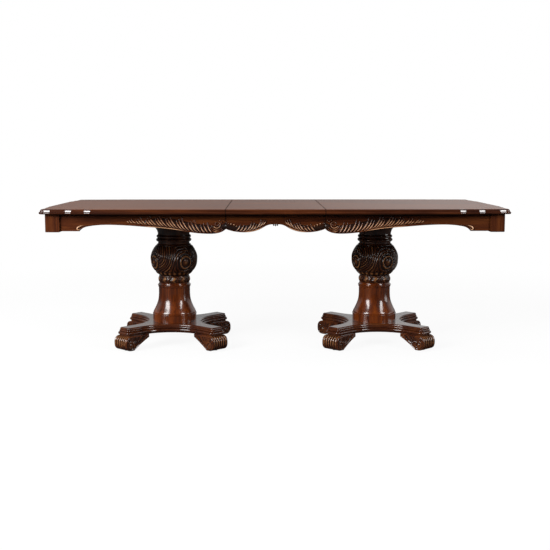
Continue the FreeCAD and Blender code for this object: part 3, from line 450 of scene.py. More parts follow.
def finish_piece(name: str, bm: BMesh, body: str, material: Material,
                 stands_for: Sequence[str] = ()) -> None:
    """Turns a bmesh into a piece of the table.

    Args:
        name: the piece's name.
        bm: its shape, which is freed.
        body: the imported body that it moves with.
        material: its finish.
        stands_for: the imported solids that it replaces.
    """
    bmesh.ops.recalc_face_normals(bm, faces=bm.faces[:])
    for face in bm.faces:
        face.smooth = True
    mesh = new_mesh(name, bm, material)
    piece = add_object(name, mesh)
    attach(piece, body)
    if stands_for:
        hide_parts(*stands_for)
    LOG.info("%s: %d faces on %s", name, len(mesh.polygons), body)


def relief_layer(bm: BMesh) -> bmesh.types.BMLayerItem:
    """The layer that says how far each vertex stands out of the hollows, from 0 to 1."""
    return bm.verts.layers.float.get(RELIEF) or bm.verts.layers.float.new(RELIEF)


def between(table: Pairs, mark: Union[float, np.ndarray]) -> Union[float, np.ndarray]:
    """A value from a table of marks and values, with straight lines between them."""
    return np.interp(mark, *zip(*table))


def bump_at(value: float, middle: float, half_width: float) -> float:
    """A rounded ridge of height 1 about a middle value."""
    away = (value - middle) / half_width
    return math.sqrt(max(0.0, 1.0 - away * away))


def smooth_rise(value: float, low: float, high: float) -> float:
    """A smooth step from 0 at the low value to 1 at the high one."""
    share = min(1.0, max(0.0, (value - low) / (high - low)))
    return share * share * (3.0 - 2.0 * share)


def verts_in(made: Sequence[object]) -> list[BMVert]:
    """The vertices among what an operator made."""
    return [part for part in made if isinstance(part, BMVert)]


def loft(bm: BMesh, loops: Sequence[Loop], placement: Matrix = HOME) -> None:
    """A closed form through loops of points, each point with its relief as a fourth number.

    Args:
        bm: the bmesh that it is added to.
        loops: the loops in order, all of one length.
        placement: where the form is put.
    """
    layer = relief_layer(bm)
    count = len(loops[0])
    ring = bmesh.ops.create_circle(bm, cap_ends=True, segments=count, radius=1.0)["verts"]
    edges = []
    for loop in loops:
        if edges:
            fresh = set(verts_in(bmesh.ops.extrude_edge_only(bm, edges=edges)["geom"]))
            ring = [next(edge.other_vert(vertex) for edge in vertex.link_edges
                         if edge.other_vert(vertex) in fresh) for vertex in ring]
        for vertex, (x, y, z, cut) in zip(ring, loop):
            vertex.co = placement @ Vector((x, y, z))
            vertex[layer] = cut
        edges = [bm.edges.get((ring[index - 1], ring[index])) for index in range(count)]
    bmesh.ops.contextual_create(bm, geom=edges)


def sweep(bm: BMesh, stations: Sequence[Matrix], sides: int = 8) -> None:
    """A closed tube through rings, each a unit circle that its matrix places.

    Args:
        bm: the bmesh that it is added to.
        stations: the rings' matrices, in order.
        sides: corners of a ring.
    """
    turns = np.linspace(0.0, math.tau, sides, endpoint=False)
    circle = [Vector((-math.sin(turn), math.cos(turn), 0.0)) for turn in turns]
    loft(bm, [[(*(station @ corner), 0.0) for corner in circle] for station in stations])


def spin(bm: BMesh, axis_x: float, verts: list, edges: list, steps: int) -> None:
    """Turns an outline right round a column's axis."""
    bmesh.ops.spin(bm, geom=verts + edges, cent=(axis_x, 0.0, 0.0), axis=UP, angle=math.tau, steps=steps,
                   use_merge=True)


def add_ball(bm: BMesh, centre: Vector, radius: float, segments: tuple[int, int] = (12, 8)) -> None:
    """A small ball."""
    bmesh.ops.create_uvsphere(bm, u_segments=segments[0], v_segments=segments[1], radius=radius,
                              matrix=Matrix.Translation(centre))


def ring_at(centre: Vector, tangent: Vector, outward: Vector, wide: float, deep: float) -> Matrix:
    """The matrix that puts a unit circle across a path, with its second axis outwards.

    Args:
        centre: the circle's middle.
        tangent: the way that the path runs.
        outward: the way of the second axis.
        wide: radius across the path.
        deep: radius outwards.

    Returns:
        The matrix.
    """
    forward = tangent.normalized()
    side = outward.cross(forward).normalized()
    matrix = Matrix.Identity(4)
    for column, axis in enumerate((side * wide, outward * deep, forward * wide, centre)):
        matrix.col[column][:3] = axis
    return matrix


def directions(path: Sequence[Vector]) -> list[Vector]:
    """The way that a path runs at each of its places."""
    last = len(path) - 1
    return [path[min(index + 1, last)] - path[max(index - 1, 0)] for index in range(last + 1)]


def smooth_path(points: Sequence[Vector], steps: int) -> list[Vector]:
    """Places along a smooth curve through some points, with a few steps from each to the next.

    Args:
        points: the points.
        steps: places from each point to the next.

    Returns:
        The places.
    """
    path = []
    last = len(points) - 1
    for index in range(last):
        before, start = points[max(index - 1, 0)], points[index]
        end, after = points[index + 1], points[min(index + 2, last)]
        for step in range(steps):
            t = step / steps
            path.append((start * 2 + (end - before) * t + (before * 2 - start * 5 + end * 4 - after) * t * t
                         + (start * 3 - before - end * 3 + after) * t ** 3) * 0.5)
    return path + [points[-1]]


@dataclass(frozen=True)
class ApronFace:
    """One run of an apron's show face, measured from where its carving starts."""

    node: str
    body: str
    start: Vector
    along: Vector
    outward: Vector
    tolerance: float = 0.2 * MM
    below_top: float = 755 * MM

    def point(self, run: float, height: float, proud: float) -> Vector:
        """A place on the face, by its run, its height and how far it stands proud."""
        return self.start + self.along * run + self.outward * proud + Vector((0.0, 0.0, height))

    def curve(self, points: Sequence[Pair], proud: float, steps: int = 5) -> list[Vector]:
        """Places on the face along a smooth curve through some runs and heights."""
        path = smooth_path([Vector(point) for point in points], steps)
        return [self.point(*place, proud) for place in path]

    def proud_of(self, place: Vector) -> float:
        """How far a place stands proud of the face."""
        return (place - self.start).dot(self.outward)

    def bead(self, bm: BMesh, path: Sequence[Vector], radii: Sequence[float]) -> None:
        """Adds a closed bead along a path, with its radius at each place."""
        sweep(bm, [ring_at(place, ahead, self.outward, radius, radius)
                   for place, ahead, radius in zip(path, directions(path), radii)])

    @cached_property
    def edge_table(self) -> list[Pair]:
        """The solid's lower edge as runs and heights.

        Returns:
            The table, sorted by run.
        """
        found = {}
        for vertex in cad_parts[self.node].data.vertices:
            run = (vertex.co - self.start).dot(self.along)
            on_face = abs(self.proud_of(vertex.co)) < self.tolerance
            if on_face and vertex.co.z < self.below_top and run > -self.tolerance:
                key = round(run, 4)
                found[key] = min(found.get(key, 1.0), vertex.co.z)
        return sorted(found.items())

    def edge(self, run: float) -> float:
        """The height of the solid's lower edge at a run."""
        return between(self.edge_table, run)


@dataclass(frozen=True)
class Frond:
    """A carved leaf spray that grows along an apron's lower edge from its start."""

    face: ApronFace
    first: float
    length: float
    leaflets: int
    heights: Pairs
    rim_end: float
    rim_radius: float = 2.8 * MM
    rim_sizes: Pairs = ((0.0, 0.6), (0.25, 0.7), (0.45, 1.0), (0.7, 1.0), (1.0, 0.25))
    rim_rise: float = 0.6
    rim_places: int = 110
    crest: float = 6.0 * MM
    leans: Pairs = ((0.1, 0.42), (0.4, 0.72), (0.75, 0.72), (1.0, 0.95))
    slim_share: float = 0.27
    lifts: Pairs = ((0.0, 0.0), (0.4, 0.0), (0.7, 4 * MM), (0.85, 8 * MM), (1.0, 13 * MM))
    ground_share: float = 0.72
    ground_proud: float = 0.8 * MM
    ground_sunk: float = 0.5 * MM
    ground_fade: Pair = (0.7, 1.0)
    ground_places: int = 48
    way_shares: Pairs = ((0.0, 0.0), (0.44, 0.24), (0.76, 0.52), (0.95, 0.78), (1.0, 1.0))
    swell: Pairs = ((0.0, 0.35), (0.15, 0.8), (0.35, 1.0), (0.6, 0.95), (0.85, 0.65), (1.0, 0.3))
    size_shares: tuple[float, ...] = (1.0, 0.90, 0.74)
    depth_shares: Pair = (0.25, 0.55)
    root_proud: float = 0.2
    proud_fall: float = 0.7
    bulb: float = 3.4 * MM
    bulb_proud: float = 0.25

    def height(self, run: float) -> float:
        """The spray's height above the edge."""
        return between(self.heights, run / self.length)

    def lift(self, run: float) -> float:
        """How far the leaflets' roots have left the edge."""
        return between(self.lifts, run / self.length)

    def build(self, bm: BMesh) -> None:
        """Adds the leaflets, the ground behind them and the bead on the edge.

        Args:
            bm: the bmesh that it is added to.
        """
        pitch = (self.length - self.first) / self.leaflets
        for number in range(self.leaflets):
            share = self.size_shares[number % len(self.size_shares)]
            self.leaflet(bm, self.first + number * pitch, pitch, share)
        self.ground(bm)
        self.rim(bm)

    def leaflet(self, bm: BMesh, root: float, pitch: float, share: float) -> None:
        """Adds one leaflet that leaves the edge aslant and turns upright, a large one with a bulb on it.

        Args:
            bm: the bmesh that it is added to.
            root: where along the run it starts.
            pitch: the way from one leaflet to the next.
            share: its height, as a share of the spray's.
        """
        reach = between(self.leans, root / self.length) * (self.height(root) - self.lift(root)) * share
        low = self.face.edge(root) + self.rim_radius + self.lift(root)
        tall = (self.face.edge(root + reach) + self.height(root + reach) - low) * share
        points = [Vector((root + across * reach, low + tall * up)) for across, up in self.way_shares]
        if share == max(self.size_shares):
            add_ball(bm, self.face.point(*points[-1], self.bulb_proud * self.crest), self.bulb, (10, 7))
        path = smooth_path(points, 4)
        marks = np.linspace(0.0, 1.0, len(path))
        stations = []
        for place, ahead, mark, size in zip(path, directions(path), marks, between(self.swell, marks)):
            centre = self.face.point(*place, self.root_proud * self.crest * (1.0 - self.proud_fall * mark))
            direction = self.face.along * ahead.x + Vector((0.0, 0.0, ahead.y))
            deep = (self.depth_shares[0] + self.depth_shares[1] * size) * self.crest
            wide = size * pitch * self.slim_share
            stations.append(ring_at(centre, direction, self.face.outward, wide, deep))
        sweep(bm, stations)

    def ground(self, bm: BMesh) -> None:
        """Adds the sunk ground behind the leaflets as a thin plate, which the finish paints in the dark
        glaze colour: partly painted shade between the leaflets.

        Args:
            bm: the bmesh that it is added to.
        """
        made = bmesh.ops.create_grid(bm, x_segments=self.ground_places, y_segments=1, size=0.5)["verts"]
        for vertex in made:
            run = (vertex.co.x + 0.5) * self.length
            share = vertex.co.y + 0.5
            taper = 1.0 - smooth_rise(run / self.length, *self.ground_fade)
            tall = (self.height(run) - self.lift(run)) * self.ground_share * taper
            low = self.face.edge(run) + self.rim_radius + self.lift(run)
            vertex.co = self.face.point(run, low + share * tall, -self.ground_sunk)
        faces = list({face for vertex in made for face in vertex.link_faces})
        grown = bmesh.ops.extrude_face_region(bm, geom=faces)["geom"]
        bmesh.ops.translate(bm, vec=self.face.outward * (self.ground_proud + self.ground_sunk),
                            verts=verts_in(grown))

    def rim(self, bm: BMesh) -> None:
        """Adds the bead along the lower edge.

        Args:
            bm: the bmesh that it is added to.
        """
        runs = np.linspace(0.6 * MM, self.rim_end, self.rim_places)
        sizes = between(self.rim_sizes, runs / self.rim_end) * self.rim_radius
        up = self.rim_radius * self.rim_rise
        path = [self.face.point(run, self.face.edge(run) + up, size) for run, size in zip(runs, sizes)]
        self.face.bead(bm, path, sizes)


@dataclass(frozen=True)
class SeamVolute:
    """The curl that a half's spray starts in at the seam, with arcs under it and a few berries."""

    face: ApronFace
    run: float = 44 * MM
    height: float = 707 * MM
    radius: float = 20 * MM
    closing: float = 0.82
    turns: Pair = (-150.0, 410.0)
    proud: float = 1.5 * MM
    bead: float = 4.0 * MM
    bead_closing: float = 0.3
    # Reach, first and last angle.
    arcs: tuple[tuple[float, float, float], ...] = ((29 * MM, -175.0, -30.0), (38 * MM, -160.0, -40.0))
    arc_sizes: Pairs = ((0.0, 0.6), (0.5, 1.0), (1.0, 0.6))
    berries: Pairs = (mm(24, 13), mm(33, 21), mm(12, 22))
    berry: float = 4.2 * MM

    def spot(self, reach: float, degrees: float) -> Vector:
        """A place round the curl's middle.

        Args:
            reach: its distance from the middle.
            degrees: its angle.

        Returns:
            The place.
        """
        angle = math.radians(degrees)
        return self.face.point(self.run - reach * math.cos(angle), self.height + reach * math.sin(angle),
                               self.proud)

    def build(self, bm: BMesh) -> None:
        """Adds the curl, the arcs and the berries.

        Args:
            bm: the bmesh that it is added to.
        """
        marks = np.linspace(0.0, 1.0, 42)
        first, last = self.turns
        curl = [self.spot(self.radius * (1 - self.closing * mark), first + (last - first) * mark)
                for mark in marks]
        self.face.bead(bm, curl, self.bead * (1 - self.bead_closing * marks))
        marks = np.linspace(0.0, 1.0, 18)
        for reach, start, end in self.arcs:
            arc = [self.spot(reach, start + (end - start) * mark) for mark in marks]
            self.face.bead(bm, arc, self.bead * between(self.arc_sizes, marks))
        for across, up in self.berries:
            add_ball(bm, self.face.point(self.run - across, self.height + up, 1.0 * MM), self.berry)


@dataclass(frozen=True)
class BerryRow:
    """The row of berries that curls down from a seam on the leaf's apron."""

    face: ApronFace
    # Run, height and radius.
    berries: tuple[tuple[float, float, float], ...] = (
        mm(5, 724, 3.6), mm(11, 713, 4.2), mm(26, 711, 5.2),
        mm(41, 706, 5.2), mm(55, 699, 4.6))
    proud: float = 0.8 * MM
    stem: float = 2.2 * MM
    stem_gap: float = 3 * MM
    stem_proud: float = 0.5 * MM

    def build(self, bm: BMesh) -> None:
        """Adds the berries and the stem under them.

        Args:
            bm: the bmesh that it is added to.
        """
        for run, height, radius in self.berries:
            add_ball(bm, self.face.point(run, height, self.proud), radius)
        path = self.face.curve([(run - self.stem_gap, height - radius - self.stem_gap)
                                for run, height, radius in self.berries], self.stem_proud)
        self.face.bead(bm, path, [self.stem] * len(path))


@dataclass(frozen=True)
class EdgeScroll:
    """The small scroll where an apron's arch meets its block."""

    face: ApronFace
    run: float
    height: float = 690 * MM
    bead: float = 5.2 * MM
    bead_sizes: Pairs = ((0.0, 0.3), (0.3, 0.6), (0.55, 1.0), (0.75, 0.8), (1.0, 0.5))
    proud: float = 1.6 * MM
    along_edge: Pairs = (mm(-92, 2), mm(-74, 3))
    hook: Pairs = (
        mm(-56, 12), mm(-32, 13), mm(-12, 11), mm(-1, 6), mm(7, -2),
        mm(5, -8), mm(-3, -9), mm(-7, -4), mm(-2, 0))

    def build(self, bm: BMesh) -> None:
        """Adds the scroll as a bead that leaves the arch and hooks into its eye.

        Args:
            bm: the bmesh that it is added to.
        """
        points = [(self.run + across, self.face.edge(self.run + across) + up)
                  for across, up in self.along_edge]
        points += [(self.run + across, self.height + up) for across, up in self.hook]
        path = self.face.curve(points, self.proud)
        sizes = between(self.bead_sizes, np.linspace(0.0, 1.0, len(path)))
        self.face.bead(bm, path, sizes * self.bead)


@dataclass(frozen=True)
class LeafDrops:
    """The three drops that hang at the middle of the leaf's lower edge."""

    face: ApronFace
    run: float
    spacing: float = 9.5 * MM
    tall: float = 11 * MM
    wide: float = 4.0 * MM
    sunk: float = 3 * MM
    drops: Pairs = ((-1.0, 0.8), (0.0, 1.0), (1.0, 0.8))
    swell: tuple[float, ...] = (0.6, 0.75, 0.95, 1.0, 0.8, 0.15)

    def build(self, bm: BMesh) -> None:
        """Adds the three drops.

        Args:
            bm: the bmesh that it is added to.
        """
        low = self.face.edge(self.run)
        for step, share in self.drops:
            levels = np.linspace(self.sunk, -self.tall * share, len(self.swell))
            run = self.run + step * self.spacing
            path = [self.face.point(run, low + level, -self.sunk) for level in levels]
            self.face.bead(bm, path, [self.wide * size for size in self.swell])


@dataclass(frozen=True)
class ApronCarving:
    """All the carving on the aprons of the two halves and the leaf."""

    material: Material
    seam: float = 254.2 * MM
    leaf_end: float = 253.8 * MM
    half_run: float = 846.8 * MM
    end_run: float = 441.0 * MM
    face_y: float = 503.0 * MM
    face_x: float = 1163.0 * MM
    tip_share: float = 0.60
    rim_share: float = 0.66
    scroll_share: float = 0.886
    proud: float = 5.7 * MM
    # Where the first leaflet starts and how many there are.
    half_leaflets: tuple[float, int] = (70 * MM, 24)
    end_leaflets: tuple[float, int] = (66 * MM, 11)
    leaf_leaflets: tuple[float, int] = (52 * MM, 9)
    leaf_length: float = 200 * MM
    half_heights: Pairs = (
        (0.0, 45 * MM), (0.14, 55 * MM), (0.3, 64 * MM), (0.46, 69 * MM), (0.58, 67 * MM), (0.7, 60 * MM),
        (0.82, 48 * MM), (0.92, 37 * MM), (1.0, 29 * MM), (1.2, 18 * MM))
    leaf_heights: Pairs = (
        (0.0, 34 * MM), (0.3, 38 * MM), (0.55, 45 * MM), (0.75, 48 * MM), (0.95, 44 * MM), (1.1, 34 * MM))

    @staticmethod
    def face(apron: str, body: str, *flat: Pair) -> ApronFace:
        """A run of an apron, by its start, its way along and its way out as seen from above."""
        return ApronFace(f"{apron}_apron", body, *(Vector((*pair, 0.0)) for pair in flat))

    def carve(self, name: str, face: ApronFace, carvings: Sequence[object]) -> None:
        """Builds some carvings on one side of an apron as one piece.

        Args:
            name: the piece's name.
            face: the face that its relief is measured from.
            carvings: what it is made of.
        """
        bm = bmesh.new()
        for carving in carvings:
            carving.build(bm)
        # How proud each vertex stands sets its relief. The finish paints crests lighter, partly a painted
        # highlight, and hollows darker, partly painted shade.
        layer = relief_layer(bm)
        for vertex in bm.verts:
            vertex[layer] = min(1.0, max(0.0, face.proud_of(vertex.co) / self.proud))
        finish_piece(name, bm, face.body, self.material)

    def spray(self, face: ApronFace, run: float, first: float, leaflets: int) -> list[object]:
        """The carvings of a half's run: its curl, its spray and its scroll.

        Args:
            face: the run's face.
            run: its length.
            first: where the first leaflet starts.
            leaflets: how many there are.

        Returns:
            The carvings.
        """
        return [SeamVolute(face),
                Frond(face, first, run * self.tip_share, leaflets, self.half_heights, run * self.rim_share),
                EdgeScroll(face, run * self.scroll_share)]

    def build_half(self, side: str, sign: float) -> None:
        """Builds the carving of one half's three aprons.

        Args:
            side: the half's name.
            sign: its side in X.
        """
        body = f"{side}_half"
        for front, out in FRONTS:
            start = (sign * self.seam, out * self.face_y)
            face = self.face(f"{side}_{front}", body, start, (sign, 0.0), (0.0, out))
            self.carve(f"{side}_{front}_frond", face, self.spray(face, self.half_run, *self.half_leaflets))
        faces = [self.face(f"{side}_end", body, (sign * self.face_x, 0.0), (0.0, way), (sign, 0.0))
                 for way in (-1.0, 1.0)]
        carvings = [carving for face in faces
                    for carving in self.spray(face, self.end_run, *self.end_leaflets)]
        self.carve(f"{side}_end_fronds", faces[0], carvings)

    def build_leaf(self, front: str, out: float) -> None:
        """Builds the carving of one of the leaf's aprons.

        Args:
            front: the apron's name.
            out: its side in Y.
        """
        faces = [self.face(f"leaf_{front}", "leaf", (sign * self.leaf_end, out * self.face_y), (-sign, 0.0),
                           (0.0, out)) for sign in (-1.0, 1.0)]
        first, leaflets = self.leaf_leaflets
        carvings = [Frond(face, first, self.leaf_length, leaflets, self.leaf_heights, self.leaf_end)
                    for face in faces]
        carvings += [BerryRow(face) for face in faces]
        carvings.append(LeafDrops(faces[0], self.leaf_end))
        self.carve(f"leaf_{front}_fronds", faces[0], carvings)

    def build(self) -> None:
        """Builds the carving of every apron."""
        for side, sign in SIDES:
            self.build_half(side, sign)
        for front, out in FRONTS:
            self.build_leaf(front, out)


def turned_radii(node: str, axis_x: float, digits: int) -> dict[float, float]:
    """A turned solid's radius at each height where it has vertices, rounded to some digits.

    Args:
        node: the solid.
        axis_x: its axis in X.
        digits: digits of the heights.

    Returns:
        Radii by height.
    """
    found = {}
    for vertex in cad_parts[node].data.vertices:
        level = round(vertex.co.z, digits)
        found[level] = max(found.get(level, 0.0), math.hypot(vertex.co.x - axis_x, vertex.co.y))
    return found


@dataclass(frozen=True)
class TurnedCarving:
    """A turned piece of a column whose surface is carved."""

    node: str
    axis_x: float
    turn: float
    rows: int
    steps: int
    depth: float = 5.0 * MM

    def outline(self) -> list[Pair]:
        """The solid's outline from the bottom up, as radii and heights, evenly spaced along it.

        Returns:
            The outline's points.
        """
        low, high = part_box(self.node)
        reach = turned_radii(self.node, self.axis_x, 5)
        largest = max(reach.values())
        levels = sorted(level for level, radius in reach.items()
                        if radius > largest / 2 and low.z - MM < level < high.z + MM)
        radii = [reach[level] for level in levels]
        lengths = np.concatenate(([0.0], np.cumsum(np.hypot(np.diff(levels), np.diff(radii)))))
        marks = np.linspace(0.0, lengths[-1], self.rows)
        return list(zip(np.interp(marks, lengths, radii), np.interp(marks, lengths, levels)))

    def relief(self, angle: float, share: float) -> float:
        """How far a place stands out of the hollows, from 0 to 1."""
        raise NotImplementedError

    def build(self, name: str, body: str, material: Material) -> None:
        """Builds the carved piece in place of its solid.

        Args:
            name: the piece's name.
            body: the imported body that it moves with.
            material: its finish.
        """
        outline = self.outline()
        bottom, top = outline[0][1], outline[-1][1]
        bm = bmesh.new()
        chain = [(0.0, bottom)] + outline + [(0.0, top)]
        verts = [bm.verts.new((self.axis_x + radius, 0.0, height)) for radius, height in chain]
        spin(bm, self.axis_x, verts, [bm.edges.new(pair) for pair in zip(verts, verts[1:])], self.steps)
        bmesh.ops.remove_doubles(bm, verts=bm.verts[:], dist=0.01 * MM)
        layer = relief_layer(bm)
        for vertex in bm.verts:
            across = Vector((vertex.co.x - self.axis_x, vertex.co.y, 0.0))
            radius = across.length
            if radius < MM:
                continue
            share = (vertex.co.z - bottom) / (top - bottom)
            cut = min(1.0, max(0.0, self.relief(math.atan2(across.y, across.x) - self.turn, share)))
            vertex[layer] = cut
            vertex.co -= across / radius * (self.depth * (1.0 - cut))
        finish_piece(name, bm, body, material, [self.node])


@dataclass(frozen=True)
class CarvedBall(TurnedCarving):
    """The ball of a column, with leaf sprays between oval bosses."""

    rows: int = 104
    steps: int = 432
    sprays: int = 4
    mean_radius: float = 132 * MM
    tall: float = 181 * MM
    boss_size: Pair = mm(36, 39)
    boss_rise: float = -10 * MM
    boss_edge: float = 1.1
    boss_dome: Pair = (0.0, 0.6)
    boss_ring: Pair = (0.88, 0.16)
    boss_fade: Pair = (1.3, 1.1)
    neck: Pair = (0.93, 0.96)
    neck_relief: float = 0.78
    sweep_eye: Pair = mm(-92, 41)
    sweep_end: float = 40 * MM
    barb_pitch: float = 14 * MM
    barb_power: float = 1.3
    proud: float = 0.92
    shallow: float = 0.22
    hollow: float = 0.04
    waver: float = 6 * MM
    waver_length: float = 24 * MM
    tongue_count: int = 22
    tongue_top: float = 0.15
    tongue_middle: float = 0.08
    tongue_size: Pair = (1 / 2.2, 0.065)

    def relief(self, angle: float, share: float) -> float:
        """How far a place stands out: bosses in rings, swept leaves between them and tongues below.

        Args:
            angle: the place's angle round the axis.
            share: its height, as a share of the piece's.

        Returns:
            The relief.
        """
        unit = math.tau / self.sprays
        turn = (angle + unit / 2) % unit - unit / 2
        side = turn * self.mean_radius
        height = (share - 0.5) * self.tall
        to_boss = (unit / 2 - abs(turn)) * self.mean_radius
        ring = math.hypot(to_boss / self.boss_size[0], (height - self.boss_rise) / self.boss_size[1])
        if ring < self.boss_edge:
            return max(self.proud * bump_at(ring, *self.boss_dome), bump_at(ring, *self.boss_ring))
        if share > self.neck[0]:
            return self.neck_relief * smooth_rise(share, *self.neck)
        if share < self.tongue_top:
            step = math.tau / self.tongue_count
            along = ((angle + step / 2) % step - step / 2) / step
            wide, tall = self.tongue_size
            return bump_at(math.hypot(along / wide, (share - self.tongue_middle) / tall), 0.0, 1.0)
        away = math.hypot(side - self.sweep_eye[0], height - self.sweep_eye[1])
        if side > self.sweep_end:
            away = math.hypot(to_boss, height - self.boss_rise)
        away += self.waver * math.sin(side / self.waver_length) * math.cos(height / self.waver_length)
        barb = abs(math.cos(math.pi * away / self.barb_pitch)) ** self.barb_power
        deep = 0.5 + 0.5 * math.sin(math.tau * away / (3.0 * self.barb_pitch) + height / self.waver_length)
        cut = self.hollow + (self.proud - self.shallow * deep) * barb
        return cut * (1.0 - smooth_rise(ring, *self.boss_fade))


@dataclass(frozen=True)
class CarvedCollar(TurnedCarving):
    """The collar under the ball, with curled leaves that lean over one another."""

    rows: int = 28
    steps: int = 252
    leaves: int = 10
    slant: float = 0.62
    sway: float = 0.22
    fullness: float = 0.6
    hollow: float = 0.05
    proud: float = 0.85
    vein: float = 0.45
    vein_place: Pair = (0.62, 0.12)
    curl: float = 0.25
    curl_middle: Pair = (0.3, 0.6)
    curl_size: Pair = (0.2, 0.22)
    low_lip: Pair = (0.0, 0.09)
    high_lip: Pair = (0.92, 1.0)
    lip_relief: float = 0.8

    def relief(self, angle: float, share: float) -> float:
        """How far a place stands out: slanting leaves with a vein, between plain lips.

        Args:
            angle: the place's angle round the axis.
            share: its height, as a share of the piece's.

        Returns:
            The relief.
        """
        lean = self.slant * (share - 0.5) + self.sway * math.sin(share * math.tau)
        along = (angle * self.leaves / math.tau + lean) % 1.0
        body = self.proud * math.sin(math.pi * along) ** self.fullness
        vein = self.vein * bump_at(along, *self.vein_place)
        away = math.hypot((along - self.curl_middle[0]) / self.curl_size[0],
                          (share - self.curl_middle[1]) / self.curl_size[1])
        lip = max(1.0 - smooth_rise(share, *self.low_lip), smooth_rise(share, *self.high_lip))
        return max(self.hollow + body - vein + self.curl * bump_at(away, 0.0, 1.0), self.lip_relief * lip)


@dataclass(frozen=True)
class TurnedBeads:
    """The fine beads round a vase, by their heights and radii."""

    node: str
    axis_x: float
    beads: Pairs = (mm(343, 3.2), mm(332, 4.0), mm(168, 3.4))
    sunk_share: float = 0.4

    def build(self, name: str, body: str, material: Material) -> None:
        """Builds the beads as one piece.

        Args:
            name: the piece's name.
            body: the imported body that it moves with.
            material: its finish.
        """
        bm = bmesh.new()
        table = sorted(turned_radii(self.node, self.axis_x, 4).items())
        for height, size in self.beads:
            middle = self.axis_x + between(table, height) - self.sunk_share * size
            place = Matrix.Translation((middle, 0.0, height)) @ Matrix.Rotation(math.pi / 2, 4, "X")
            ring = bmesh.ops.create_circle(bm, segments=14, radius=size, matrix=place)["verts"]
            edges = list({edge for vertex in ring for edge in vertex.link_edges})
            spin(bm, self.axis_x, ring, edges, 120)
        finish_piece(name, bm, body, material)


